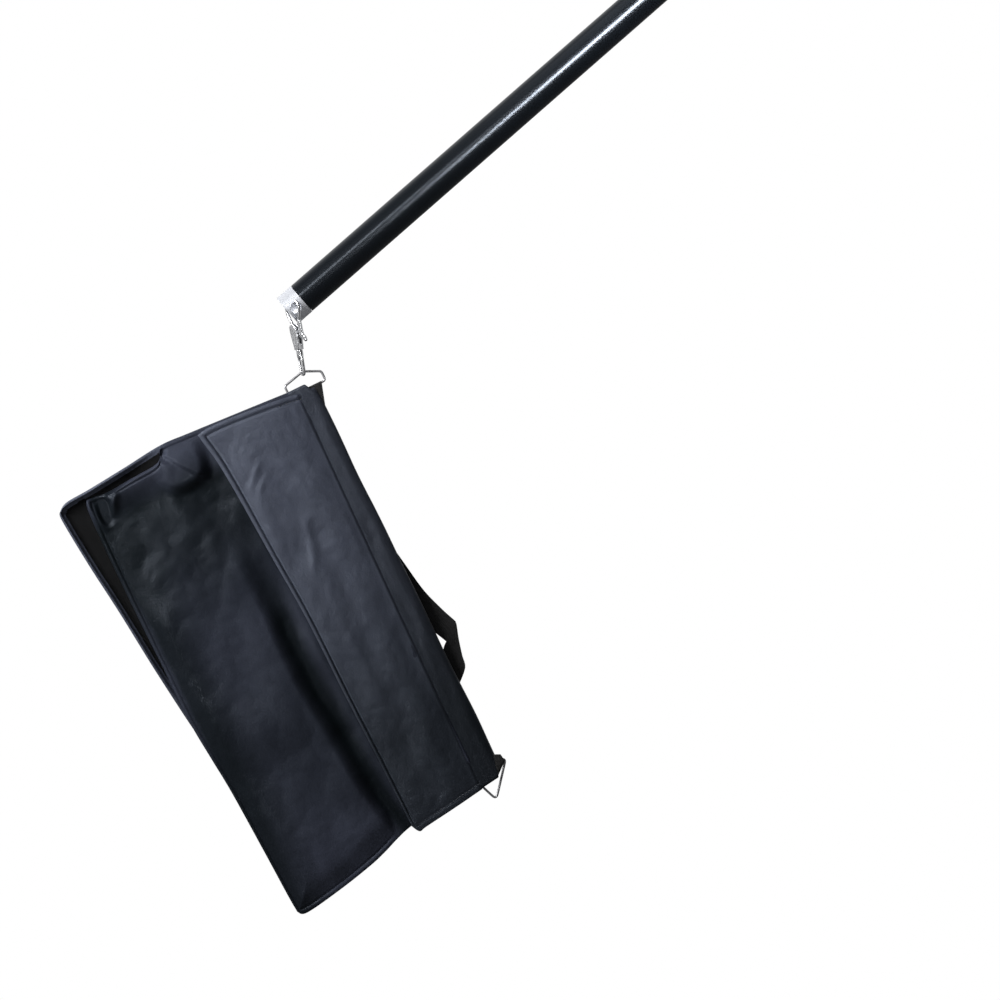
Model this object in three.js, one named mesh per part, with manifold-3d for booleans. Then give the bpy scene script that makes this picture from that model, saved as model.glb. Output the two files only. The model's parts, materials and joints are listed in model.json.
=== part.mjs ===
// Overhead boom arm for film and studio lights: a pivot head for a light stand, a two-section
// telescopic boom, and an empty saddle sandbag that hangs from the tail on a trigger snap.
// Millimetres, +Z up. The origin is the centre of the stand socket's mouth. The boom lies in a
// plane parallel to XZ and rises towards +X. The camera side is -Y.
import * as THREE from 'three';
import { mergeVertices } from 'three/addons/utils/BufferGeometryUtils.js';
import Module from 'manifold-3d';

const wasm = await Module();
wasm.setup();

// General values
const gap = 0.3; // clearance between touching pieces
const overrun = 2; // how far a cutting tool passes through what it cuts
const roundSides = 32; // sides of the tubes and of what fits them
const castSides = 24; // sides of other large round pieces
const smallSides = 16; // sides of small round pieces
const wireSides = 8; // sides of a wire
const degree = Math.PI / 180;

// Boom tubes
const boomRise = 41.2; // degrees above the horizontal
const outerDiameter = 30;
const outerWall = 1.5;
const innerDiameter = 25;
const innerWall = 1.5;
const outerLength = 1163; // painted tube without the ferrule
const innerLength = 1040;
const tailReach = 846; // pivot to the tail end of the painted tube
const innerShown = 250; // inner tube that stands out of the collar at rest

// Stand socket
const spigotBore = 16.4; // for a 16 mm stand spigot
const socketDiameter = 34;
const socketDepth = 52;
const socketBeadDiameter = 39;
const socketBeadHeight = 9;
const pivotHeight = 86; // mouth of the socket to the tilt axis
const headDiscDiameter = 56;
const headDiscBack = 15; // back face of the tilting disc boss behind the column axis
const headDiscFront = 18; // its front face before the column axis
const neckThickness = 22;
const lockBossDiameter = 20;
const lockBossLength = 11;
const lockBossHeight = 27; // mouth to the lock screw
const mouthLead = 1.6; // chamfer at the mouth of the bore

// Tilt stack
const frictionThickness = 2.6;
const frictionDiameter = 52;
const clampDiscThickness = 9;
const studDiameter = 10;
const studHeadDiameter = 17;
const studHeadThickness = 5;
const washerThickness = 2;
const washerDiameter = 26;

// Tube clamp
const boomOffset = 52; // column axis to boom axis, towards the camera
const linerWall = 1.6;
const clampWall = 6;
const clampLength = 62;
const clampSlit = 7;
const lugThickness = 9;
const lugReach = 24; // how far the lugs stand out of the clamp ring
const lugLength = 34;
const clampRibHeight = 2.2;
const clampRibWidth = 4;

// Screws and handles
const screwDiameter = 8;
const boltHeadAcross = 13;
const boltHeadThickness = 5.5;
const handleSpan = 66;
const handleHub = 21;
const handleHeight = 24;
const handleArmDepth = 13;
const handleArmWidth = 12;
const handleCoreWall = 2.6;
const bigHandleShare = 1.15; // the tilt handle against the others

// Telescope collar
const collarLength = 58;
const collarDiameter = 39;
const collarOverTube = 36;
const collarLipDiameter = 32;
const collarBossDiameter = 19;
const collarBossHeight = 9;
const collarGrooveDepth = 1;
const collarGrooveWidth = 4;
const collarGrooveCount = 3;
const guideWall = 0.6;
const guideLength = 30;
const padDiameter = 9;

// Glide at the hidden end of the inner tube
const glideHead = 14;
const glideStem = 22;
const glideSlotWidth = 3;

// Light end
const plugFlangeDiameter = 30;
const plugFlangeLength = 14;
const plugStem = 34;
const spigotDiameter = 16;
const spigotLength = 46;
const spigotNeckDiameter = 13;
const spigotNeckLength = 7;
const spigotTipDiameter = 9.5;
const spigotTipLength = 12;
const spigotStem = 16; // part of the spigot inside the plug
const crossPinDiameter = 4;

// Ferrule at the tail
const ferruleDiameter = 30.4;
const ferruleLength = 17;
const ferruleWall = 2.8;
const ferruleStub = 22; // length inside the painted tube
const ferruleStubWall = 1.6;
const hangHoleDiameter = 10.4;
const hangHoleFromRim = 7.8;
const hangHoleRoll = 15; // degrees below the side of the tube

// Trigger snap
const snapLean = 9.5; // degrees from the vertical, foot towards +X
const snapTurn = 35; // degrees that its face is turned from the boom's plane
const snapWire = 3.2;
const crookWidth = 18; // centre line to centre line
const crookShift = 4; // centre line of the snap from the hang hole, towards the tail
const crookTop = 1; // centre line of the crook above the hang hole
const noseDrop = 10.5; // end of the crook's nose below the hang hole
const bodyTop = 19; // the snap's solid body below the hang hole
const bodyBottom = 38;
const bodyTopWidth = 15;
const bodyBottomWidth = 8;
const bodyThickness = 8;
const gateSlot = 3.4;
const gatePinDrop = 25; // gate pin below the hang hole
const gatePinInset = 4.6; // gate pin from the body's outer side
const gatePinDiameter = 2;
const gateThickness = 2.6;
const gateArmWidth = 3.2;
const thumbReach = 4.2;
const thumbHeight = 5;
const springWire = 0.5;
const springTurns = 1.75;
const springLeg = 4.2;
const springSeat = -0.6; // floor of the gate's recess for the spring, from its middle
const swivelPostDiameter = 3;
const swivelPostLength = 6;
const swivelButtonDiameter = 5;
const swivelButtonThickness = 1.2;
const eyeDrop = 58; // hang hole to the wire that the eye carries
const eyeWidth = 10;
const eyeWire = 2.8;
const eyeTurn = 70; // degrees between the eye's face and the boom's plane
const eyeCollarDiameter = 6.4;
const eyeCollarHeight = 3;

// Wire rings of the bag
const ringWire = 2.4;
const topRingWidth = 36;
const topRingHeight = 16.3;
const topRingCrown = 7.1; // rise of its top wire at the snap's eye
const topRingEyeShare = 0.42; // place of the eye along the top wire, from the spine side
const ringCorner = 3;
const triangleSide = 39;
const footRingTilt = 9; // degrees that the lower ring and its tab lean towards the pouches
const footRingV = 11.6; // middle of its base wire from the fold
const footTabOutside = 2; // how far the lower tab stands out past the fold

// Bag: u runs down the spine, v from the spine across the pouches
const bagSlope = 64.05; // degrees of the spine below the horizontal
const spineLength = 374;
const spineBand = 23;
const spineHalfThickness = 3.2;
const spineInset = 5.5; // the band starts this far below the ring's base wire
const spineWall = 1.4;
const pouchWidth = 234;
const pouchLength = 424;
const pouchCrown = 2.3; // half thickness of an empty pouch
const pouchEdge = 0.5; // half thickness at its seams
const pouchRise = 36; // distance over which the crown grows
const pouchCorner = 14;
const rearFan = 26; // how far the rear pouch's top corner stands out past the front one's
const seamGap = 0.9; // spine band to pouch
const flapGap = 0.5; // spine band to flap
const topBow = 12.5; // bow of the pouches' upper edge
const topRise = 6.5; // rise of that edge at the spine
const bottomSlant = 29; // the pouch is longer at its outer side than at the flap
const flapThickness = 1.6;
const flapWidthTop = 112;
const flapWidthBottom = 95;
const flapLength = 401;
const flapSlant = 11; // the flap is longer at its free edge than at the spine
const flapNotch = 371; // its length beside the lower ring, cut back to let the ring swing
const closureWidth = 20;
const closureThickness = 0.8;
const closureInset = 8; // closure strip from the flap's free edge
const closureLength = 300;
const closureStart = 46;
const tabWidth = 20;
const tabLength = 26;
const tabWebbing = 1.3;
const tabOutside = 8; // how far the tab stands out past the spine's fold
const handleStrap = 19; // width of the webbing
const handleStrapThickness = 1.8;
const handleStart = 168;
const handleBend = 248;
const handleEnd = 302;
const handleBulge = 9; // centre line of the webbing outside the fold, at its bend

// Worked out from the sizes above
const headFaceToClamp = headDiscFront + 2 * gap + frictionThickness;
const linerRadius = outerDiameter / 2 + gap + linerWall;
const clampRadius = linerRadius + gap + clampWall;
const lugOuter = clampRadius + lugReach;
const lugScrew = clampRadius + lugReach / 2;
const collarStart = outerLength - tailReach - collarOverTube;
const collarEnd = collarStart + collarLength;
const innerStart = collarEnd + innerShown - innerLength;
const innerBore = innerDiameter - 2 * innerWall;
const outerBore = outerDiameter - 2 * outerWall;
const ferruleRim = tailReach + gap + ferruleLength;
const ferruleMidWall = (ferruleDiameter - ferruleWall) / 2;
const eyeDepth = eyeDrop - bodyBottom;
const flapHinge = spineHalfThickness + gap + flapThickness / 2; // flap's middle from the bag's middle
const closureFace = 3 * gap + 2 * pouchCrown; // outer face of a pouch, with the gap over it
const flapRise = closureFace + 2 * (closureThickness + gap) + flapThickness / 2 - flapHinge;
const padLow = innerDiameter / 2 + gap;
const padThickness = Math.sqrt(outerDiameter ** 2 - padDiameter ** 2) / 2 - gap - padLow;

// Colours and finishes
const paintedTube = finish(0x14161a, 0.28, 0.0);
const paintedCasting = finish(0x1b1d20, 0.5, 0.0);
const mouldedPlastic = finish(0x18191b, 0.55, 0.0);
const whiteNylon = finish(0xcfcfc6, 0.5, 0.0);
const grayFibre = finish(0x5b5750, 0.8, 0.0);
const brightAluminium = finish(0xd5d7dc, 0.3, 0.9);
const brightChrome = finish(0xdcdee2, 0.12, 1.0);
const zincSteel = finish(0xa9abad, 0.35, 0.9);
const wireSteel = finish(0x9b9da0, 0.25, 1.0);
const coatedNylon = finish(0x2b2f37, 0.6, 0.0);
const blackWebbing = finish(0x0d0d0f, 0.85, 0.0);
const closureTape = finish(0x111214, 0.95, 0.0);

function finish(color, roughness, metalness) {
  return new THREE.MeshStandardMaterial({ color, roughness, metalness });
}

// Solids

// Closed three.js geometry to a manifold solid
function solid(geometry) {
  const plain = geometry.clone();
  for (const name of ['normal', 'uv']) if (plain.attributes[name]) plain.deleteAttribute(name);
  plain.clearGroups();
  const merged = mergeVertices(plain, 1e-4);
  const triangles = [];
  const index = merged.index.array;
  for (let i = 0; i < index.length; i += 3) {
    const [a, b, c] = [index[i], index[i + 1], index[i + 2]];
    if (a !== b && b !== c && c !== a) triangles.push(a, b, c);
  }
  return new wasm.Manifold(new wasm.Mesh({
    numProp: 3,
    vertProperties: new Float32Array(merged.attributes.position.array),
    triVerts: new Uint32Array(triangles),
  }));
}

function geometryOf(body) {
  const { vertProperties, triVerts, numProp } = body.getMesh();
  const positions = new Float32Array((vertProperties.length / numProp) * 3);
  for (let i = 0; i < positions.length / 3; i++) {
    for (let k = 0; k < 3; k++) positions[3 * i + k] = vertProperties[numProp * i + k];
  }
  const geometry = new THREE.BufferGeometry();
  geometry.setAttribute('position', new THREE.BufferAttribute(positions, 3));
  geometry.setIndex(Array.from(triVerts));
  geometry.computeVertexNormals();
  return geometry;
}

function piece(name, body, material) {
  const geometry = body.isBufferGeometry ? body : geometryOf(body);
  const mesh = new THREE.Mesh(geometry, material);
  mesh.name = name;
  return mesh;
}

function union(bodies) {
  return bodies.reduce((whole, body) => whole.add(body));
}

// Turned solid about Z from [radius, height] points that start and end on the axis
function turned(points, sides = roundSides) {
  return solid(new THREE.LatheGeometry(points.map(([r, z]) => new THREE.Vector2(r, z)), sides)
    .rotateX(Math.PI / 2));
}

// Turned ring about Z from a closed profile
function turnedRing(points, sides = roundSides) {
  const loop = [...points, points[0]].map(([r, z]) => new THREE.Vector2(r, z));
  const ring = solid(new THREE.LatheGeometry(loop, sides).rotateX(Math.PI / 2));
  return ring.volume() < 0 ? solid(flipped(geometryOf(ring))) : ring;
}

function flipped(geometry) {
  const index = geometry.index.array;
  const turnedIndex = [];
  for (let i = 0; i < index.length; i += 3) turnedIndex.push(index[i], index[i + 2], index[i + 1]);
  geometry.setIndex(turnedIndex);
  return geometry;
}

// Rod along Z from low to high
function rod(diameter, low, high, sides = roundSides) {
  return solid(new THREE.CylinderGeometry(diameter / 2, diameter / 2, high - low, sides)
    .rotateX(Math.PI / 2).translate(0, 0, (low + high) / 2));
}

function tube(outer, inner, low, high, sides = roundSides) {
  return rod(outer, low, high, sides).subtract(rod(inner, low - overrun, high + overrun, sides));
}

function block(x0, x1, y0, y1, z0, z1) {
  return solid(new THREE.BoxGeometry(x1 - x0, y1 - y0, z1 - z0)
    .translate((x0 + x1) / 2, (y0 + y1) / 2, (z0 + z1) / 2));
}

// Outline in XY pulled up along Z, with softened rims
function plate(shape, thickness, bevel = 0, curveSegments = 8, bevelSegments = 2) {
  const geometry = new THREE.ExtrudeGeometry(shape, {
    depth: thickness - 2 * bevel,
    bevelEnabled: bevel > 0,
    bevelThickness: bevel,
    bevelSize: bevel,
    bevelOffset: -bevel,
    bevelSegments,
    curveSegments,
  });
  return solid(geometry.translate(0, 0, bevel));
}

function turn(body, x, y, z) {
  const matrix = new THREE.Matrix4().makeRotationFromEuler(new THREE.Euler(x, y, z, 'XYZ'));
  return solid(geometryOf(body).applyMatrix4(matrix));
}

function move(body, x, y, z) {
  return solid(geometryOf(body).translate(x, y, z));
}

const alongX = (body) => turn(body, 0, Math.PI / 2, 0);
const towardsCamera = (body) => turn(body, Math.PI / 2, 0, 0); // +Z to -Y
const awayFromCamera = (body) => turn(body, -Math.PI / 2, 0, 0); // +Z to +Y

// Round wire along a curve, closed or with flat ends
function wire(curve, diameter, steps, sides = wireSides) {
  const section = new THREE.Shape();
  for (let i = 0; i < sides; i++) {
    const angle = (2 * Math.PI * (i + 0.5)) / sides;
    const x = (diameter / 2) * Math.cos(angle);
    const y = (diameter / 2) * Math.sin(angle);
    if (i === 0) section.moveTo(x, y);
    else section.lineTo(x, y);
  }
  section.closePath();
  const body = solid(new THREE.ExtrudeGeometry(section, { extrudePath: curve, steps, bevelEnabled: false }));
  return body.volume() < 0 ? solid(flipped(geometryOf(body))) : body;
}

// Closed wire loop through corners in the XZ plane, each corner rounded
function wireLoop(corners, radius, diameter, stepsPerCorner = 5) {
  const points = [];
  corners.forEach((corner, i) => {
    const before = corners[(i + corners.length - 1) % corners.length];
    const after = corners[(i + 1) % corners.length];
    const toBefore = before.clone().sub(corner).normalize();
    const toAfter = after.clone().sub(corner).normalize();
    const reach = radius / Math.tan(toBefore.angleTo(toAfter) / 2);
    const start = corner.clone().addScaledVector(toBefore, reach);
    const end = corner.clone().addScaledVector(toAfter, reach);
    const bend = new THREE.QuadraticBezierCurve3(start, corner, end);
    points.push(...bend.getPoints(stepsPerCorner - 1));
  });
  return wireRing(points, diameter);
}

// Tube through a closed ring of points that lie in the XZ plane
function wireRing(points, diameter, sides = wireSides) {
  const positions = [];
  const index = [];
  const count = points.length;
  points.forEach((point, i) => {
    const before = points[(i + count - 1) % count];
    const after = points[(i + 1) % count];
    const tangent = after.clone().sub(before).normalize();
    const side = new THREE.Vector3(tangent.z, 0, -tangent.x);
    for (let k = 0; k < sides; k++) {
      const angle = (2 * Math.PI * (k + 0.5)) / sides;
      const out = (diameter / 2) * Math.cos(angle);
      const across = (diameter / 2) * Math.sin(angle);
      positions.push(point.x + side.x * out, point.y + across, point.z + side.z * out);
      const next = (k + 1) % sides;
      const ring = (i + 1) % count;
      index.push(i * sides + k, i * sides + next, ring * sides + next);
      index.push(i * sides + k, ring * sides + next, ring * sides + k);
    }
  });
  const geometry = new THREE.BufferGeometry();
  geometry.setAttribute('position', new THREE.Float32BufferAttribute(positions, 3));
  geometry.setIndex(index);
  const body = solid(geometry);
  return body.volume() < 0 ? solid(flipped(geometryOf(body))) : body;
}

// Moulded T handle on Z: hub from 0 to its height, two swept arms, cored out underneath
function tHandle(scale = 1) {
  const span = handleSpan * scale;
  const hub = handleHub * scale;
  const top = handleHeight;
  const armBase = top - handleArmDepth;
  const outline = new THREE.Shape();
  const half = span / 2;
  const waist = handleArmWidth * 0.42;
  const tip = handleArmWidth / 2;
  outline.moveTo(-half + tip, -tip);
  outline.bezierCurveTo(-half / 2, -tip, -hub / 2, -waist, 0, -waist);
  outline.bezierCurveTo(hub / 2, -waist, half / 2, -tip, half - tip, -tip);
  outline.absarc(half - tip, 0, tip, -Math.PI / 2, Math.PI / 2, false);
  outline.bezierCurveTo(half / 2, tip, hub / 2, waist, 0, waist);
  outline.bezierCurveTo(-hub / 2, waist, -half / 2, tip, -half + tip, tip);
  outline.absarc(-half + tip, 0, tip, Math.PI / 2, 1.5 * Math.PI, false);
  const arms = move(plate(outline, handleArmDepth, handleArmWidth / 6, 4, 1), 0, 0, armBase);
  const hubBody = turned([
    [0, 0],
    [hub * 0.38, 0],
    [hub * 0.44, armBase * 0.2],
    [hub / 2, armBase],
    [hub / 2, top - hub * 0.16],
    [hub * 0.36, top],
    [0, top],
  ], smallSides);
  const cores = [-1, 1].map((side) => {
    const inner = side * (hub / 2 + handleCoreWall);
    const outer = side * (half - tip);
    const [x0, x1] = side < 0 ? [outer, inner] : [inner, outer];
    const width = handleArmWidth / 2 - handleCoreWall;
    return block(x0, x1, -width, width, armBase - overrun, top - handleCoreWall);
  });
  return arms.add(hubBody).subtract(union(cores));
}

// Screw on Z whose thread ends at -reach and whose top sits in a handle's insert
function lockScrew(reach, sunk) {
  const r = screwDiameter / 2;
  const point = r / 3;
  return turned([[0, -reach], [r - point, -reach], [r, -reach + point], [r, sunk], [0, sunk]], smallSides);
}

// Handle with a blind hole for its screw
function handleOnScrew(sunk, scale = 1) {
  return tHandle(scale).subtract(rod(screwDiameter + 2 * gap, -overrun, sunk + gap, smallSides));
}

const screwSunk = handleHeight * 0.55; // length of screw inside a handle

// Head on the stand

function standSocket() {
  const r = socketDiameter / 2;
  const bead = socketBeadDiameter / 2;
  const lead = mouthLead;
  const sleeveTop = socketDepth + clampWall;
  const sleeve = turned([
    [0, 0],
    [bead - lead, 0],
    [bead, lead],
    [bead, socketBeadHeight - lead],
    [r, socketBeadHeight + lead],
    [r, sleeveTop - 2 * lead],
    [r - 2 * lead, sleeveTop],
    [0, sleeveTop],
  ], castSides);
  const disc = move(awayFromCamera(turned([
    [0, -headDiscFront],
    [headDiscDiameter / 2, -headDiscFront],
    [headDiscDiameter / 2, headDiscBack - 3 * lead],
    [headDiscDiameter / 2 - 2 * lead, headDiscBack],
    [0, headDiscBack],
  ], castSides)), 0, 0, pivotHeight);
  const neck = new THREE.Shape();
  const waist = socketDiameter / 2 - lead;
  const shoulder = headDiscDiameter / 2 - lead;
  const neckTop = pivotHeight - lead;
  neck.moveTo(-waist, socketDepth - neckThickness);
  neck.lineTo(waist, socketDepth - neckThickness);
  neck.lineTo(waist, socketDepth);
  neck.quadraticCurveTo(waist, (socketDepth + neckTop) / 2, shoulder, neckTop);
  neck.lineTo(-shoulder, neckTop);
  neck.quadraticCurveTo(-waist, (socketDepth + neckTop) / 2, -waist, socketDepth);
  neck.closePath();
  const web = move(towardsCamera(plate(neck, neckThickness, lead, 6)), 0, neckThickness / 2, 0);
  const bossEnd = r + lockBossLength;
  const boss = move(alongX(rod(lockBossDiameter, 0, bossEnd, castSides)), 0, 0, lockBossHeight);
  const bore = turned([
    [0, -overrun],
    [spigotBore / 2 + lead + overrun, -overrun],
    [spigotBore / 2, lead],
    [spigotBore / 2, socketDepth],
    [0, socketDepth],
  ]);
  const screwHole = move(alongX(rod(screwDiameter + 2 * gap, 0, bossEnd + overrun, smallSides)),
    0, 0, lockBossHeight);
  const boltHole = move(awayFromCamera(rod(studDiameter + 2 * gap, -headDiscFront - overrun,
    headDiscBack + overrun, smallSides)), 0, 0, pivotHeight);
  return union([sleeve, disc, web, boss]).subtract(union([bore, screwHole, boltHole]));
}

const socketBossFace = socketDiameter / 2 + lockBossLength;
const socketScrewReach = socketBossFace - spigotBore / 2 + gap; // tip just short of the spigot's bore

function headPieces() {
  const group = new THREE.Group();
  const knob = (body) => move(alongX(body), socketBossFace + washerThickness, 0, lockBossHeight);
  const faceY = -headDiscFront - gap;
  const friction = move(towardsCamera(tube(frictionDiameter, studDiameter + 2 * gap, 0, frictionThickness)),
    0, faceY, pivotHeight);
  group.add(
    piece('stand_socket', standSocket(), paintedCasting),
    piece('socket_lock_screw', knob(lockScrew(socketScrewReach, screwSunk)), zincSteel),
    piece('socket_lock_handle', knob(handleOnScrew(screwSunk)), mouldedPlastic),
    piece('tilt_friction_disc', friction, grayFibre),
  );
  return group;
}

// Tilting clamp. Its own frame is the boom's: X along the boom, Y away from the camera, and the
// origin where the tilt axis meets the boom's axis.

function clampBody() {
  const half = clampLength / 2;
  const ring = alongX(rod(2 * clampRadius, -half, half));
  const ribs = [-1, 1].map((side) => {
    const rim = 2 * (clampRadius + clampRibHeight);
    const at = side * (half - clampRibWidth);
    return alongX(rod(rim, at - clampRibWidth / 2, at + clampRibWidth / 2));
  });
  const discFace = boomOffset - headFaceToClamp;
  const discDiameter = headDiscDiameter;
  const disc = move(towardsCamera(turned([
    [0, 0],
    [discDiameter / 2, 0],
    [discDiameter / 2, clampDiscThickness],
    [discDiameter / 2 - mouthLead, clampDiscThickness + mouthLead],
    [discDiameter / 2 - mouthLead, discFace],
    [0, discFace],
  ], castSides)), 0, discFace, 0);
  const lugs = roundedLug();
  const bore = alongX(rod(2 * (linerRadius + gap), -half - overrun, half + overrun));
  const slit = block(-half - overrun, half + overrun, -lugOuter - overrun, 0, -clampSlit / 2, clampSlit / 2);
  const screwHole = move(rod(screwDiameter + 2 * gap, -clampRadius, clampRadius, smallSides), 0, -lugScrew, 0);
  const studHole = awayFromCamera(union([
    rod(studDiameter + 2 * gap, 0, discFace + overrun, smallSides),
    rod(studHeadDiameter + 2 * gap, 0, linerRadius + studHeadThickness + 2 * gap, smallSides),
  ]));
  return union([ring, ...ribs, disc, lugs]).subtract(union([bore, slit, screwHole, studHole]));
}

// Both lugs as one block with round outer corners, cut apart by the slit
function roundedLug() {
  const outline = new THREE.Shape();
  const half = lugLength / 2;
  const corner = lugReach / 2;
  outline.moveTo(-half, 0);
  outline.lineTo(-half, lugOuter - corner);
  outline.absarc(-half + corner, lugOuter - corner, corner, Math.PI, Math.PI / 2, true);
  outline.lineTo(half - corner, lugOuter);
  outline.absarc(half - corner, lugOuter - corner, corner, Math.PI / 2, 0, true);
  outline.lineTo(half, 0);
  outline.closePath();
  const height = 2 * lugThickness + clampSlit;
  return move(turn(plate(outline, height, mouthLead, 5), 0, 0, Math.PI), 0, 0, -height / 2);
}

function clampLiner() {
  const half = clampLength / 2;
  const sleeve = alongX(tube(2 * linerRadius, outerDiameter + 2 * gap, -half, half));
  const slit = block(-half - overrun, half + overrun, -clampRadius, 0, -clampSlit / 2, clampSlit / 2);
  return sleeve.subtract(slit);
}

function clampPieces() {
  const group = new THREE.Group();
  const lugFace = clampSlit / 2 + lugThickness;
  const atScrew = (body) => move(body, 0, -lugScrew, lugFace + gap);
  const screwReach = 2 * lugFace + 2 * gap + boltHeadThickness;
  const bolt = lockScrew(screwReach, screwSunk).add(
    rod(boltHeadAcross, -screwReach, -screwReach + boltHeadThickness, 6));
  const studEnd = boomOffset + headDiscBack + washerThickness + screwSunk;
  const headAt = linerRadius + gap;
  const stud = awayFromCamera(union([
    rod(studHeadDiameter, headAt, headAt + studHeadThickness, smallSides),
    rod(studDiameter, headAt, studEnd, smallSides),
  ]));
  const backFace = boomOffset + headDiscBack + gap;
  const washer = move(awayFromCamera(tube(washerDiameter, studDiameter + 2 * gap, 0, washerThickness - gap)),
    0, backFace, 0);
  const tiltHandle = tHandle(bigHandleShare).subtract(
    rod(studDiameter + 2 * gap, -overrun, screwSunk, smallSides));
  const tiltKnob = move(awayFromCamera(tiltHandle), 0, backFace + washerThickness, 0);
  group.add(
    piece('tube_clamp', clampBody(), paintedCasting),
    piece('clamp_liner', clampLiner(), whiteNylon),
    piece('tilt_stud', stud, zincSteel),
    piece('tilt_washer', washer, zincSteel),
    piece('tilt_handle', tiltKnob, mouldedPlastic),
    piece('clamp_bolt', atScrew(bolt), zincSteel),
    piece('clamp_handle', atScrew(handleOnScrew(screwSunk)), mouldedPlastic),
  );
  return group;
}

// Boom, in the same frame

function outerTube() {
  const low = -tailReach;
  const high = outerLength - tailReach;
  const window = move(rod(padDiameter + 2 * gap, 0, outerDiameter, smallSides), high - collarOverTube / 2, 0, 0);
  return alongX(tube(outerDiameter, outerBore, low, high)).subtract(window);
}

// Bright ferrule: a stub inside the tube and an open ring behind it with one hang hole
function endFerrule() {
  const r = ferruleDiameter / 2;
  const stub = outerBore / 2 - gap;
  const bore = r - ferruleWall;
  const low = -tailReach - gap;
  const soft = ferruleWall / 4;
  const ring = alongX(turnedRing([
    [stub, low + ferruleStub],
    [stub - ferruleStubWall, low + ferruleStub],
    [stub - ferruleStubWall, low - ferruleWall],
    [bore, low - ferruleWall],
    [bore, low - ferruleLength + soft],
    [bore + soft, low - ferruleLength],
    [r - soft, low - ferruleLength],
    [r, low - ferruleLength + soft],
    [r, low],
    [stub, low],
  ]));
  const hole = rod(hangHoleDiameter, 0, outerDiameter, smallSides * 2);
  const roll = turn(hole, Math.PI / 2 + hangHoleRoll * degree, 0, 0);
  return ring.subtract(move(roll, low - ferruleLength + hangHoleFromRim, 0, 0));
}

function collarBody() {
  const r = collarDiameter / 2;
  const lip = collarLipDiameter / 2;
  const profile = [[0, collarStart], [r - mouthLead, collarStart], [r, collarStart + mouthLead]];
  const pitch = 2 * collarGrooveWidth;
  for (let i = 0; i < collarGrooveCount; i++) {
    const at = collarStart + pitch * (i + 1);
    profile.push([r, at], [r - collarGrooveDepth, at], [r - collarGrooveDepth, at + collarGrooveWidth],
      [r, at + collarGrooveWidth]);
  }
  const shoulder = collarEnd - (collarDiameter - collarLipDiameter);
  profile.push([r, shoulder], [lip, collarEnd - mouthLead], [lip - mouthLead, collarEnd], [0, collarEnd]);
  const shell = alongX(turned(profile, castSides));
  const padAt = outerLength - tailReach - collarOverTube / 2;
  const boss = move(rod(collarBossDiameter, 0, r + collarBossHeight, castSides), padAt, 0, 0);
  const seat = outerLength - tailReach + gap + linerWall;
  const bores = alongX(union([
    rod(outerDiameter + 2 * gap, collarStart - overrun, seat + gap),
    rod(innerDiameter + 2 * gap, collarStart, collarEnd + overrun),
  ]));
  const screwHole = move(rod(screwDiameter + 2 * gap, 0, r + collarBossHeight + overrun, smallSides), padAt, 0, 0);
  return union([shell, boss]).subtract(union([bores, screwHole]));
}

// Nylon guide in the mouth of the outer tube, with a flange over the tube's end
function innerGuide() {
  const end = outerLength - tailReach;
  const bore = innerDiameter / 2 + gap / 2;
  const skin = bore + guideWall - gap / 2;
  const sleeve = alongX(turnedRing([
    [bore, end - guideLength],
    [skin, end - guideLength],
    [skin, end + gap],
    [outerDiameter / 2, end + gap],
    [outerDiameter / 2, end + gap + linerWall],
    [bore, end + gap + linerWall],
  ]));
  const window = move(rod(padDiameter + 2 * gap, 0, outerDiameter, smallSides), end - collarOverTube / 2, 0, 0);
  return sleeve.subtract(window);
}

function boomPieces() {
  const group = new THREE.Group();
  const padAt = outerLength - tailReach - collarOverTube / 2;
  const bossFace = collarDiameter / 2 + collarBossHeight;
  const onBoss = (body) => move(body, padAt, 0, bossFace + gap);
  const reach = bossFace + gap - padLow - padThickness - gap;
  group.add(
    piece('outer_tube', outerTube(), paintedTube),
    piece('end_ferrule', endFerrule(), brightAluminium),
    piece('telescope_collar', collarBody(), mouldedPlastic),
    piece('inner_guide', innerGuide(), whiteNylon),
    piece('pressure_pad', move(rod(padDiameter, padLow, padLow + padThickness, smallSides), padAt, 0, 0),
      whiteNylon),
    piece('collar_screw', onBoss(lockScrew(reach, screwSunk)), zincSteel),
    piece('collar_handle', onBoss(handleOnScrew(screwSunk)), mouldedPlastic),
  );
  return group;
}

function innerGlide() {
  const head = outerBore / 2 - gap;
  const stem = innerBore / 2 - gap;
  const at = innerStart - gap;
  const body = alongX(turned([
    [0, at - glideHead],
    [head - mouthLead, at - glideHead],
    [head, at - glideHead + mouthLead],
    [head, at],
    [stem, at],
    [stem, at + glideStem - mouthLead],
    [stem - mouthLead, at + glideStem],
    [0, at + glideStem],
  ], castSides));
  const cored = alongX(rod(innerBore * 0.6, at - glideHead - overrun, at + glideStem - 2 * mouthLead));
  const slots = [0, 1].map((k) => {
    const slot = block(at - glideHead - overrun, at - mouthLead, -outerBore, outerBore,
      -glideSlotWidth / 2, glideSlotWidth / 2);
    return turn(slot, (k * Math.PI) / 2, 0, 0);
  });
  return body.subtract(union([cored, ...slots]));
}

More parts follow.
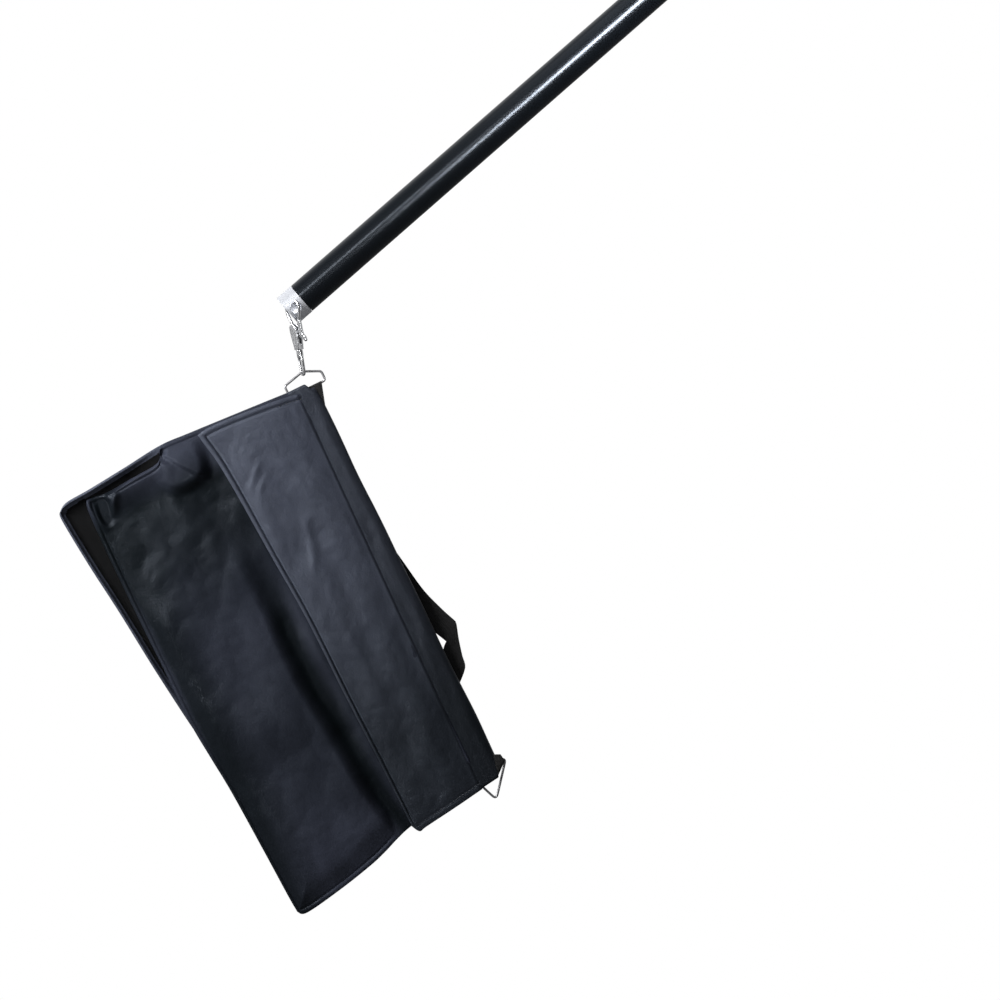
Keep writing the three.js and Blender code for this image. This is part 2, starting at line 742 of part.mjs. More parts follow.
function endPlug() {
  const end = innerStart + innerLength + gap;
  const stem = innerBore / 2 - gap;
  const flange = plugFlangeDiameter / 2;
  const face = end + plugFlangeLength;
  const body = alongX(turned([
    [0, end - plugStem],
    [stem - mouthLead, end - plugStem],
    [stem, end - plugStem + mouthLead],
    [stem, end],
    [flange, end],
    [flange, face - 2 * mouthLead],
    [flange - 2 * mouthLead, face],
    [0, face],
  ], castSides));
  const bore = alongX(rod(spigotDiameter + 2 * gap, face - spigotStem, face + overrun));
  const pin = move(rod(crossPinDiameter + 2 * gap, -flange - overrun, flange + overrun, smallSides),
    end + plugFlangeLength / 2, 0, 0);
  return body.subtract(union([bore, pin]));
}

function lightSpigot() {
  const face = innerStart + innerLength + gap + plugFlangeLength;
  const r = spigotDiameter / 2;
  const neck = spigotNeckDiameter / 2;
  const tip = spigotTipDiameter / 2;
  const top = face + spigotLength;
  const neckAt = face + (spigotLength - spigotNeckLength) / 2;
  const slope = r - neck;
  const body = alongX(turned([
    [0, face - spigotStem + gap],
    [r, face - spigotStem + gap],
    [r, neckAt],
    [neck, neckAt + slope],
    [neck, neckAt + spigotNeckLength - slope],
    [r, neckAt + spigotNeckLength],
    [r, top - mouthLead],
    [r - mouthLead, top],
    [tip, top],
    [tip, top + spigotTipLength - mouthLead / 2],
    [tip - mouthLead / 2, top + spigotTipLength],
    [0, top + spigotTipLength],
  ], castSides));
  const pin = move(rod(crossPinDiameter + 2 * gap, -plugFlangeDiameter, plugFlangeDiameter, smallSides),
    face - plugFlangeLength / 2, 0, 0);
  return body.subtract(pin);
}

function extensionPieces() {
  const group = new THREE.Group();
  const pinAt = innerStart + innerLength + gap + plugFlangeLength / 2;
  const pinHalf = plugFlangeDiameter / 2 - gap;
  group.add(
    piece('inner_tube', alongX(tube(innerDiameter, innerBore, innerStart, innerStart + innerLength)), paintedTube),
    piece('inner_glide', innerGlide(), whiteNylon),
    piece('end_plug', endPlug(), paintedCasting),
    piece('light_spigot', lightSpigot(), brightChrome),
    piece('spigot_pin', move(rod(crossPinDiameter, -pinHalf, pinHalf, smallSides), pinAt, 0, 0), zincSteel),
  );
  return group;
}

// Trigger snap. Its frame hangs from the hang hole: Z up its length, X across its face.

const snapBack = -crookShift - crookWidth / 2; // centre line of the solid side
const snapNose = -crookShift + crookWidth / 2; // centre line of the gate side

function snapBody() {
  const bendRadius = crookWidth / 2;
  const bendAt = crookTop - bendRadius;
  const path = new THREE.CurvePath();
  const nose = new THREE.Vector3(snapNose, 0, -noseDrop);
  const noseTop = new THREE.Vector3(snapNose, 0, bendAt);
  path.add(new THREE.LineCurve3(nose, noseTop));
  const bend = new THREE.CatmullRomCurve3(Array.from({ length: 13 }, (_, i) => {
    const angle = (Math.PI * i) / 12;
    return new THREE.Vector3(-crookShift + bendRadius * Math.cos(angle), 0, bendAt + bendRadius * Math.sin(angle));
  }));
  path.add(bend);
  path.add(new THREE.LineCurve3(new THREE.Vector3(snapBack, 0, bendAt),
    new THREE.Vector3(snapBack, 0, -bodyTop - snapWire)));
  const crook = wire(path, snapWire, 24);
  const outline = new THREE.Shape();
  const left = snapBack - snapWire / 2;
  const right = left + bodyTopWidth + snapWire;
  const middle = -crookShift;
  outline.moveTo(left, -bodyTop);
  outline.bezierCurveTo(left, -bodyBottom * 0.8, middle - bodyBottomWidth / 2, -bodyBottom * 0.86,
    middle - bodyBottomWidth / 2, -bodyBottom);
  outline.lineTo(middle + bodyBottomWidth / 2, -bodyBottom);
  outline.quadraticCurveTo(middle + bodyBottomWidth / 2, -bodyBottom * 0.86, right, -bodyBottom * 0.78);
  outline.lineTo(right, -gatePinDrop + gateArmWidth);
  outline.quadraticCurveTo(middle, -gatePinDrop + gateArmWidth, middle - gateArmWidth, -bodyTop);
  outline.closePath();
  const slab = move(towardsCamera(plate(outline, bodyThickness, snapWire / 4, 5)), 0, bodyThickness / 2, 0);
  const pinX = right - gatePinInset;
  const slot = block(pinX - gatePinInset, right + overrun, -gateSlot / 2, gateSlot / 2,
    -gatePinDrop - gatePinInset - gateArmWidth / 2, -gatePinDrop + gatePinInset + overrun);
  const pinHole = move(towardsCamera(rod(gatePinDiameter + 2 * gap, -bodyThickness, bodyThickness, 12)),
    pinX, 0, -gatePinDrop);
  const postHole = move(union([
    rod(swivelPostDiameter + 2 * gap, -bodyBottom - overrun, -bodyBottom + swivelPostLength, smallSides),
    rod(swivelButtonDiameter + 2 * gap, -bodyBottom + swivelPostLength / 3,
      -bodyBottom + swivelPostLength / 3 + swivelButtonThickness + 2 * gap, smallSides),
  ]), middle, 0, 0);
  return crook.add(slab).subtract(union([slot, pinHole, postHole]));
}

const snapRight = snapBack + snapWire / 2 + bodyTopWidth;
const gatePinX = snapRight - gatePinInset;

// Gate lever: an arm up to the nose, an eye round the pin and a thumb tab outside
function snapGate() {
  const reach = gatePinDrop - noseDrop - gap;
  const innerSide = snapNose - gateArmWidth / 2;
  const outerSide = snapNose + gateArmWidth / 2;
  const topAt = (x) => -gatePinDrop + Math.sqrt(reach ** 2 - (x - gatePinX) ** 2);
  const eye = gateArmWidth * 0.75;
  const outline = new THREE.Shape();
  outline.moveTo(innerSide, topAt(innerSide));
  outline.lineTo(outerSide, topAt(outerSide));
  outline.lineTo(outerSide, -gatePinDrop + gateArmWidth);
  outline.quadraticCurveTo(snapRight + thumbReach / 2, -gatePinDrop,
    snapRight + thumbReach, -gatePinDrop - gateArmWidth);
  outline.lineTo(snapRight + thumbReach, -gatePinDrop - thumbHeight);
  outline.quadraticCurveTo(snapRight, -gatePinDrop - gateArmWidth, gatePinX + eye, -gatePinDrop - eye);
  outline.lineTo(gatePinX - eye, -gatePinDrop - eye / 2);
  outline.lineTo(gatePinX - eye, -gatePinDrop + eye);
  outline.quadraticCurveTo(innerSide, -gatePinDrop + 2 * gateArmWidth, innerSide, topAt(innerSide));
  outline.closePath();
  const lever = move(towardsCamera(plate(outline, gateThickness, 0, 4)), 0, gateThickness / 2, 0);
  const pinHole = move(towardsCamera(rod(gatePinDiameter + 2 * gap, -bodyThickness, bodyThickness, 12)),
    gatePinX, 0, -gatePinDrop);
  const coilRadius = gatePinDiameter / 2 + gap + springWire + gap;
  const recess = move(awayFromCamera(rod(2 * coilRadius + 2 * gap, springSeat, gateThickness, smallSides)),
    gatePinX, 0, -gatePinDrop);
  const legRoom = block(gatePinX - eye - overrun, gatePinX, springSeat, gateThickness,
    -gatePinDrop - eye - overrun, -gatePinDrop);
  return lever.subtract(union([pinHole, recess, legRoom]));
}

// Torsion spring on the gate's pin, with a leg against the back of the snap's slot
function gateSpring() {
  const radius = gatePinDiameter / 2 + gap + springWire / 2;
  const start = springSeat + gap + springWire / 2;
  const pitch = springWire + gap / 3;
  const stepsPerTurn = 8;
  const points = [];
  for (let i = 0; i <= springTurns * stepsPerTurn; i++) {
    const angle = (2 * Math.PI * i) / stepsPerTurn;
    points.push(new THREE.Vector3(
      gatePinX - radius * Math.cos(angle),
      start + (pitch * i) / stepsPerTurn,
      -gatePinDrop + radius * Math.sin(angle),
    ));
  }
  const last = points[points.length - 1];
  points.push(new THREE.Vector3(last.x - springLeg, last.y, last.z));
  return wire(new THREE.CatmullRomCurve3(points), springWire, points.length * 2, 4);
}

function snapPieces() {
  const group = new THREE.Group();
  const pin = move(towardsCamera(rod(gatePinDiameter, -bodyThickness / 2, bodyThickness / 2, 12)),
    gatePinX, 0, -gatePinDrop);
  group.add(
    piece('snap_hook', snapBody(), brightChrome),
    piece('snap_gate', snapGate(), brightChrome),
    piece('gate_pin', pin, zincSteel),
    piece('gate_spring', gateSpring(), zincSteel),
  );
  return group;
}

// Swivel eye: a post with a button inside the snap's foot, and a long loop for the bag's ring.
// Its frame is the snap's centre line at the foot of the snap's body.
function swivelEye() {
  const half = eyeWidth / 2;
  const loopTop = -eyeCollarHeight - gap - eyeWire / 2;
  const loopLow = -eyeDepth - ringWire / 2 - gap - eyeWire / 2;
  const corners = [
    new THREE.Vector3(-half, 0, loopTop - eyeWire / 2),
    new THREE.Vector3(half, 0, loopTop - eyeWire / 2),
    new THREE.Vector3(half * 0.8, 0, loopLow),
    new THREE.Vector3(-half * 0.8, 0, loopLow),
  ];
  const loop = wireLoop(corners, half * 0.7, eyeWire, 5);
  const post = turned([
    [0, loopTop - eyeWire],
    [eyeCollarDiameter / 2 - gap, loopTop - eyeWire],
    [eyeCollarDiameter / 2, loopTop],
    [eyeCollarDiameter / 2, -gap],
    [swivelPostDiameter / 2, -gap],
    [swivelPostDiameter / 2, swivelPostLength / 3 + gap],
    [swivelButtonDiameter / 2, swivelPostLength / 3 + gap],
    [swivelButtonDiameter / 2, swivelPostLength / 3 + gap + swivelButtonThickness],
    [0, swivelPostLength / 3 + gap + swivelButtonThickness],
  ], smallSides);
  return loop.add(post);
}

// Bag. Its frame lies at the upper end of the spine's fold: X runs down the spine, -Z across the
// pouches, -Y is the front. across(v) turns the distance from the spine into that frame's Z.

const across = (v) => -v;
const ringBaseU = -1.5; // base wire of the top ring along the spine
const topRingRight = -tabOutside - ringWire; // its spine side, across the fold
const bagPoint = (u, v) => new THREE.Vector3(u, 0, across(v));

function topRing() {
  const right = topRingRight;
  const left = right + topRingWidth;
  const eyeV = right + topRingWidth * topRingEyeShare;
  const high = ringBaseU - topRingHeight + topRingCrown;
  const low = ringBaseU;
  const corners = [
    bagPoint(low, right),
    bagPoint(high, right),
    bagPoint(high - topRingCrown, eyeV),
    bagPoint(high - topRingCrown * 0.3, left),
    bagPoint(low, left),
  ];
  return wireLoop(corners, ringCorner, ringWire, 5);
}

function triangleRing() {
  const height = (triangleSide * Math.sqrt(3)) / 2;
  const corners = [
    bagPoint(0, -triangleSide / 2),
    bagPoint(height, 0),
    bagPoint(0, triangleSide / 2),
  ];
  return wireLoop(corners, ringCorner, ringWire, 6);
}

// Folded spine band, notched at both ends for the webbing tabs
function bagSpine() {
  const outline = new THREE.Shape();
  const outer = spineHalfThickness;
  const inner = outer - spineWall;
  outline.moveTo(spineBand, outer);
  outline.lineTo(outer, outer);
  outline.absarc(outer, 0, outer, Math.PI / 2, 1.5 * Math.PI, false);
  outline.lineTo(spineBand, -outer);
  outline.lineTo(spineBand, -inner);
  outline.lineTo(outer, -inner);
  outline.absarc(outer, 0, inner, 1.5 * Math.PI, Math.PI / 2, true);
  outline.lineTo(spineBand, inner);
  outline.closePath();
  // The outline's X is v and its Y is the bag's thickness; it is pulled along the spine
  const bandStart = ringBaseU + spineInset;
  const band = solid(geometryOf(plate(outline, spineLength - 2 * bandStart, 0, 6).translate(0, 0, bandStart))
    .applyMatrix4(new THREE.Matrix4().makeBasis(
      new THREE.Vector3(0, 0, -1), new THREE.Vector3(0, 1, 0), new THREE.Vector3(1, 0, 0))));
  const notch = (u0, u1) => block(u0, u1, -outer - overrun, outer + overrun,
    across(outer - gap), across(-overrun));
  const foot = spineLength - tabLength;
  return band.subtract(union([notch(-overrun, tabLength + gap), notch(foot - gap, spineLength + overrun)]));
}

// Webbing loop round a ring's base wire: X from the wire at 0 down to the sewn end
function webbingTab(length, outside) {
  const eye = ringWire / 2 + gap;
  const outer = eye + tabWebbing;
  const outline = new THREE.Shape();
  outline.moveTo(length, -tabWebbing);
  outline.lineTo(length, tabWebbing);
  outline.lineTo(outer + tabWebbing, tabWebbing);
  outline.quadraticCurveTo(outer, outer, 0, outer);
  outline.absarc(0, 0, outer, Math.PI / 2, 1.5 * Math.PI, false);
  outline.quadraticCurveTo(outer, -outer, outer + tabWebbing, -tabWebbing);
  outline.closePath();
  const hole = new THREE.Path();
  hole.absarc(0, 0, eye, 0, 2 * Math.PI, true);
  outline.holes.push(hole);
  return move(plate(outline, tabWidth, 0, 6), 0, 0, across(tabWidth - outside));
}

// Concave growth from 0 at a seam to 1 at the given distance
function swell(distance, rise) {
  const share = Math.min(Math.max(distance / rise, 0), 1);
  return Math.sin((share * Math.PI) / 2);
}

// Smooth closed outline through rounded corners, as points of (u, v)
function roundedOutline(corners, radius, steps = 4) {
  const points = [];
  corners.forEach((corner, i) => {
    const before = corners[(i + corners.length - 1) % corners.length];
    const after = corners[(i + 1) % corners.length];
    const toBefore = before.clone().sub(corner);
    const toAfter = after.clone().sub(corner);
    const cut = Math.min(radius, toBefore.length() / 3, toAfter.length() / 3);
    const start = corner.clone().add(toBefore.setLength(cut));
    const end = corner.clone().add(toAfter.setLength(cut));
    points.push(...new THREE.QuadraticBezierCurve(start, corner, end).getPoints(steps - 1));
  });
  return points;
}

// Distance from a point to the nearest edge of an outline
function rimDistance(q, rim) {
  let nearest = Infinity;
  rim.forEach((a, i) => {
    const edge = rim[(i + 1) % rim.length].clone().sub(a);
    const along = Math.min(Math.max(q.clone().sub(a).dot(edge) / edge.lengthSq(), 0), 1);
    nearest = Math.min(nearest, q.distanceTo(a.clone().addScaledVector(edge, along)));
  });
  return nearest;
}

// Soft flat body: rings shrink from the seam to the middle, and thickness grows from edge to crown.
// The side that faces the other pouch is flat, at two gaps from the bag's middle plane.
function pouch(corners, side) {
  const rim = roundedOutline(corners, pouchCorner);
  const centre = rim.reduce((sum, p) => sum.add(p), new THREE.Vector2()).divideScalar(rim.length);
  const insets = [0, pouchRise / 6, pouchRise / 2, pouchRise];
  const positions = [];
  const index = [];
  const count = rim.length;
  const rows = [];
  const thickness = (q) => 2 * (pouchEdge + (pouchCrown - pouchEdge) * swell(rimDistance(q, rim), pouchRise));
  const addRow = (inset, height) => {
    rows.push(positions.length / 3);
    rim.forEach((p) => {
      const inward = centre.clone().sub(p);
      const q = p.clone().addScaledVector(inward, inset / inward.length());
      positions.push(q.x, side * (2 * gap + height(q)), across(q.y));
    });
  };
  addRow(pouchRise, () => 0);
  addRow(0, () => 0);
  insets.forEach((inset) => addRow(inset, thickness));
  for (let r = 0; r + 1 < rows.length; r++) {
    for (let i = 0; i < count; i++) {
      const j = (i + 1) % count;
      index.push(rows[r] + i, rows[r] + j, rows[r + 1] + j, rows[r] + i, rows[r + 1] + j, rows[r + 1] + i);
    }
  }
  const cap = (row, height, inner) => {
    const hub = positions.length / 3;
    positions.push(centre.x, side * (2 * gap + height), across(centre.y));
    for (let i = 0; i < count; i++) {
      const j = (i + 1) % count;
      if (inner) index.push(hub, row + j, row + i);
      else index.push(hub, row + i, row + j);
    }
  };
  cap(rows[0], 0, true);
  cap(rows[rows.length - 1], 2 * pouchCrown, false);
  return closedBody(positions, index);
}

function closedBody(positions, index) {
  const geometry = new THREE.BufferGeometry();
  geometry.setAttribute('position', new THREE.Float32BufferAttribute(positions, 3));
  geometry.setIndex(index);
  const body = solid(geometry);
  return body.volume() < 0 ? solid(flipped(geometryOf(body))) : body;
}

// Points down the spine side, round the bottom and back along the top
function frontPouchCorners() {
  const seam = spineBand + seamGap;
  const bottom = pouchLength - bottomSlant;
  return [
    new THREE.Vector2(-topRise, seam),
    new THREE.Vector2(spineLength - pouchCorner, seam),
    new THREE.Vector2(bottom, seam + pouchRise),
    new THREE.Vector2(bottom + gap, flapWidthBottom),
    new THREE.Vector2((bottom + pouchLength) / 2, (flapWidthBottom + pouchWidth) / 2),
    new THREE.Vector2(pouchLength, pouchWidth - pouchCorner / 2),
    new THREE.Vector2(pouchLength / 2, pouchWidth + gap),
    new THREE.Vector2(0, pouchWidth),
    new THREE.Vector2(-topBow, pouchWidth * 0.58),
  ];
}

function rearPouchCorners() {
  const seam = spineBand + seamGap;
  const bottom = pouchLength - bottomSlant;
  return [
    new THREE.Vector2(-topRise, seam),
    new THREE.Vector2(spineLength - pouchCorner, seam),
    new THREE.Vector2(bottom - pouchCorner / 2, seam + pouchRise),
    new THREE.Vector2(bottom, flapWidthBottom),
    new THREE.Vector2(pouchLength - pouchCorner / 2, pouchWidth - pouchCorner),
    new THREE.Vector2(pouchLength / 2, pouchWidth + rearFan / 5),
    new THREE.Vector2(0, pouchWidth + rearFan),
    new THREE.Vector2(-topBow, pouchWidth * 0.62),
  ];
}

// Flap: a thin curved sheet that leaves the seam and lifts over the pouch
function flap(side) {
  const rows = 3;
  const columns = 7;
  const start = spineBand + flapGap;
  const positions = [];
  const index = [];
  const id = (layer, i, j) => (layer * (rows + 1) + i) * (columns + 1) + j;
  for (const layer of [-1, 1]) {
    for (let i = 0; i <= rows; i++) {
      for (let j = 0; j <= columns; j++) {
        const along = i / rows;
        const edge = flapWidthTop + (flapWidthBottom - flapWidthTop) * along;
        const v = start + (edge - start) * (j / columns);
        const foot = Math.min(flapLength - flapSlant * (1 - j / columns), j < 2 ? flapNotch : flapLength);
        const u = -gap + foot * along;
        const lift = flapHinge + flapRise * swell(v - start, pouchRise);
        positions.push(u, side * lift + (layer * flapThickness) / 2, across(v));
      }
    }
  }
  const quad = (a, b, c, d) => index.push(a, b, c, a, c, d);
  for (let i = 0; i < rows; i++) {
    for (let j = 0; j < columns; j++) {
      quad(id(0, i, j), id(0, i + 1, j), id(0, i + 1, j + 1), id(0, i, j + 1));
      quad(id(1, i, j), id(1, i, j + 1), id(1, i + 1, j + 1), id(1, i + 1, j));
    }
  }
  for (let i = 0; i < rows; i++) {
    quad(id(0, i, 0), id(1, i, 0), id(1, i + 1, 0), id(0, i + 1, 0));
    quad(id(0, i, columns), id(0, i + 1, columns), id(1, i + 1, columns), id(1, i, columns));
  }
  for (let j = 0; j < columns; j++) {
    quad(id(0, 0, j), id(0, 0, j + 1), id(1, 0, j + 1), id(1, 0, j));
    quad(id(0, rows, j), id(1, rows, j), id(1, rows, j + 1), id(0, rows, j + 1));
  }
  return closedBody(positions, index);
}

// Hook-and-loop strip, layer 0 on the pouch and layer 1 on the flap
function closureStrip(side, layer) {
  const outer = flapWidthBottom - closureInset;
  const faceY = closureFace + layer * (closureThickness + gap);
  const [y0, y1] = side < 0 ? [-faceY - closureThickness, -faceY] : [faceY, faceY + closureThickness];
  return block(closureStart, closureStart + closureLength, y0, y1, across(outer), across(outer - closureWidth));
}

// Carrying strap: webbing laid flat behind the spine, bent out past the fold
function carryStrap() {
  const half = handleStrap / 2;
  const inside = spineBand / 2;
  const centre = [
    new THREE.Vector2(handleStart, inside),
    new THREE.Vector2((handleStart + handleBend) / 2, inside / 3),
    new THREE.Vector2(handleBend, -handleBulge),
    new THREE.Vector2((handleBend + handleEnd) / 2, -handleBulge / 4),
    new THREE.Vector2(handleEnd, inside),
  ];
  const spine = new THREE.SplineCurve(centre);
  const steps = 14;
  const outer = [];
  const inner = [];
  for (let i = 0; i <= steps; i++) {
    const p = spine.getPoint(i / steps);
    const t = spine.getTangent(i / steps);
    outer.push(new THREE.Vector2(p.x + t.y * half, p.y - t.x * half));
    inner.push(new THREE.Vector2(p.x - t.y * half * 0.5, p.y + t.x * half * 0.5));
  }
  const shape = new THREE.Shape([...outer, ...inner.reverse()]);
  const low = spineHalfThickness + gap;
  // The shape's X is u and its Y is v; its thickness goes away from the camera
  const basis = new THREE.Matrix4().makeBasis(
    new THREE.Vector3(1, 0, 0), new THREE.Vector3(0, 0, -1), new THREE.Vector3(0, 1, 0));
  return solid(geometryOf(plate(shape, handleStrapThickness, 0, 4)).applyMatrix4(basis).translate(0, low, 0));
}

function bagPieces() {
  const group = new THREE.Group();
  const tab = webbingTab(tabLength - ringBaseU - gap, tabOutside);
  group.add(
    piece('top_tab', move(tab, ringBaseU, 0, 0), blackWebbing),
    piece('bag_spine', bagSpine(), coatedNylon),
    piece('front_pouch', pouch(frontPouchCorners(), -1), coatedNylon),
    piece('rear_pouch', pouch(rearPouchCorners(), 1), coatedNylon),
    piece('front_flap', flap(-1), coatedNylon),
    piece('rear_flap', flap(1), coatedNylon),
    piece('front_loop_tape', closureStrip(-1, 0), closureTape),
    piece('front_hook_tape', closureStrip(-1, 1), closureTape),
    piece('rear_loop_tape', closureStrip(1, 0), closureTape),
    piece('rear_hook_tape', closureStrip(1, 1), closureTape),
    piece('carry_strap', carryStrap(), blackWebbing),
  );
  return group;
}

// Lower tab and ring, in a frame on the middle of the ring's base wire
function footPieces() {
  const group = new THREE.Group();
  const tab = move(webbingTab(tabLength - ringBaseU - gap, footTabOutside).mirror([1, 0, 0]), 0, 0, footRingV);
  group.position.set(spineLength - ringBaseU, 0, across(footRingV));
  group.rotation.y = footRingTilt * degree;
  group.add(
    piece('bottom_tab', tab, blackWebbing),
    piece('bottom_ring', triangleRing(), wireSteel),
  );
  return group;
}

// Assembly

const model = new THREE.Group();
model.name = 'overhead_boom_arm';
model.add(headPieces());

const boomFrame = new THREE.Group();
boomFrame.position.set(0, -boomOffset, pivotHeight);
boomFrame.rotation.y = -boomRise * degree;
boomFrame.add(clampPieces(), boomPieces(), extensionPieces());
model.add(boomFrame);

// Place of the hang hole, in the middle of the ferrule's wall
const hangHole = new THREE.Vector3(
  -ferruleRim + hangHoleFromRim,
  -ferruleMidWall * Math.cos(hangHoleRoll * degree),
  -ferruleMidWall * Math.sin(hangHoleRoll * degree),
).applyAxisAngle(new THREE.Vector3(0, 1, 0), -boomRise * degree).add(boomFrame.position);

const snapFrame = new THREE.Group();
snapFrame.position.copy(hangHole);
snapFrame.rotation.order = 'YZX';
snapFrame.rotation.y = -snapLean * degree;
snapFrame.rotation.z = -snapTurn * degree;
snapFrame.add(snapPieces());
model.add(snapFrame);

const eyeFrame = new THREE.Group();
eyeFrame.position.set(-crookShift, 0, -bodyBottom);
eyeFrame.rotation.z = (snapTurn - eyeTurn) * degree;
eyeFrame.add(piece('swivel_eye', swivelEye(), brightChrome));
snapFrame.add(eyeFrame);

// The ring's top wire lies in the eye, and the bag's frame follows from that point
snapFrame.updateMatrixWorld(true);
const eyeSeat = new THREE.Vector3(0, 0, -eyeDepth).applyMatrix4(eyeFrame.matrixWorld);
const bagFrame = new THREE.Group();
bagFrame.rotation.y = bagSlope * degree;
const seatInBag = bagPoint(ringBaseU - topRingHeight, topRingRight + topRingWidth * topRingEyeShare)
  .applyEuler(bagFrame.rotation);
bagFrame.position.copy(eyeSeat).sub(seatInBag);
bagFrame.add(piece('top_ring', topRing(), wireSteel), bagPieces(), footPieces());
model.add(bagFrame);

export default model;
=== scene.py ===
"""Looks of an overhead boom arm: painted tubes, a chrome trigger snap and a coated nylon saddle bag."""

import json
import math

import bmesh
import bpy
import numpy as np
from mathutils import Matrix, Vector, noise


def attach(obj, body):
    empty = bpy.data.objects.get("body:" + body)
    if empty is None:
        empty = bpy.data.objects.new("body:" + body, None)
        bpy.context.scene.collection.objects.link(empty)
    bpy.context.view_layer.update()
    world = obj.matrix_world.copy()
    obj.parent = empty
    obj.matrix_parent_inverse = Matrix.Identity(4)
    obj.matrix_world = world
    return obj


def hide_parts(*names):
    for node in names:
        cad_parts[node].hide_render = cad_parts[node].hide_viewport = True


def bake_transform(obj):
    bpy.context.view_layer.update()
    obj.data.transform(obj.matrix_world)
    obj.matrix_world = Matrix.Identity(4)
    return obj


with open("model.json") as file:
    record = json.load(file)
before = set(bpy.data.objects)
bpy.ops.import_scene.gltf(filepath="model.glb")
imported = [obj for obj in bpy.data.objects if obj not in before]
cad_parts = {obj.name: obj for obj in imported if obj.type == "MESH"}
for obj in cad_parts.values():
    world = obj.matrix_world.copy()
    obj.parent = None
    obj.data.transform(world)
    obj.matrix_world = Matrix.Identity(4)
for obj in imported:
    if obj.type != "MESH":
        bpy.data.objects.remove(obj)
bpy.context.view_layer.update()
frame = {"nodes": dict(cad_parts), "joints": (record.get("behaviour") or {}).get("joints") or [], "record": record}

bl_info = {
    "name": "Overhead Boom Arm",
    "version": (1, 0, 0),
    "blender": (4, 5, 0),
    "location": "View3D > Sidebar > Boom Arm",
    "description": "Builds the visible pieces of an overhead boom arm over its packed frame",
    "category": "Object",
}

MM = 0.001
JOINTS = {joint["name"]: joint for joint in frame["joints"]}


# Places read from the frame


def joint_place(name):
    return Vector(JOINTS[name]["pos_m"])


def joint_way(name):
    return Vector(JOINTS[name]["axis"]).normalized()


BOOM_WAY = joint_way("boom_slide")
BOOM_AXIS = joint_place("boom_tilt")
BOOM_UP = Vector((0, -1, 0)).cross(BOOM_WAY).normalized()
SPINE_WAY = joint_way("rear_pouch_open")
if SPINE_WAY.dot(joint_place("lower_ring_swing") - joint_place("bag_swing")) < 0:
    SPINE_WAY.negate()
ACROSS_WAY = Vector((0, 1, 0)).cross(SPINE_WAY)
RING_TO_CORNER = 1.5
BAG_CORNER = joint_place("bag_swing") + RING_TO_CORNER * MM * SPINE_WAY
TOWARDS_CAMERA = Vector((0, -1, 0))
SNAP_HOLE = joint_place("hook_swing")
SNAP_DEPTH = -joint_way("gate_open")
SNAP_UP = joint_way("eye_swivel")
if SNAP_UP.z < 0:
    SNAP_UP.negate()
SNAP_ACROSS = SNAP_DEPTH.cross(SNAP_UP)


def on_bag(u, v, out=0.0):
    """A place on the bag: millimetres down its spine, across its pouches and towards the camera."""
    return BAG_CORNER + (SPINE_WAY * float(u) + ACROSS_WAY * float(v) + TOWARDS_CAMERA * float(out)) * MM


def on_snap(across, up, depth=0.0):
    """A place on the snap: millimetres across its face, up from its hang hole and through it."""
    return SNAP_HOLE + (SNAP_ACROSS * across + SNAP_UP * up + SNAP_DEPTH * depth) * MM


def on_boom(along, out=0.0, up=0.0):
    """A place by the boom: millimetres along it from the tilt axis, towards the camera and up."""
    return BOOM_AXIS + (along * BOOM_WAY + out * TOWARDS_CAMERA + up * BOOM_UP) * MM


# Shader sums and nodes


def math_method(operation):
    """A method that makes a Math node from a socket and the other values."""

    def method(self, *others):
        inputs = dict(enumerate((self, *others)))
        return self.finish.node("ShaderNodeMath", {"operation": operation}, inputs)

    return method


class Socket:
    """A shader socket that takes part in Python sums."""

    def __init__(self, finish, output):
        self.finish = finish
        self.output = output

    __add__ = __radd__ = math_method("ADD")
    __sub__ = math_method("SUBTRACT")
    __mul__ = __rmul__ = math_method("MULTIPLY")
    __truediv__ = math_method("DIVIDE")
    __abs__ = math_method("ABSOLUTE")
    sine = math_method("SINE")
    most = math_method("MAXIMUM")
    wrap = math_method("FLOORED_MODULO")

    def __rsub__(self, other):
        return self.finish.node("ShaderNodeMath", {"operation": "SUBTRACT"}, {0: other, 1: self})


def gray(value):
    return (value, value, value, 1.0)


def tone(colour, share):
    return tuple(min(c * share, 1.0) for c in colour[:3]) + (1.0,)


def tinted(colour, tint):
    return tuple(c * k for c, k in zip(colour, tint)) + (1.0,)


WHITE = gray(1.0)


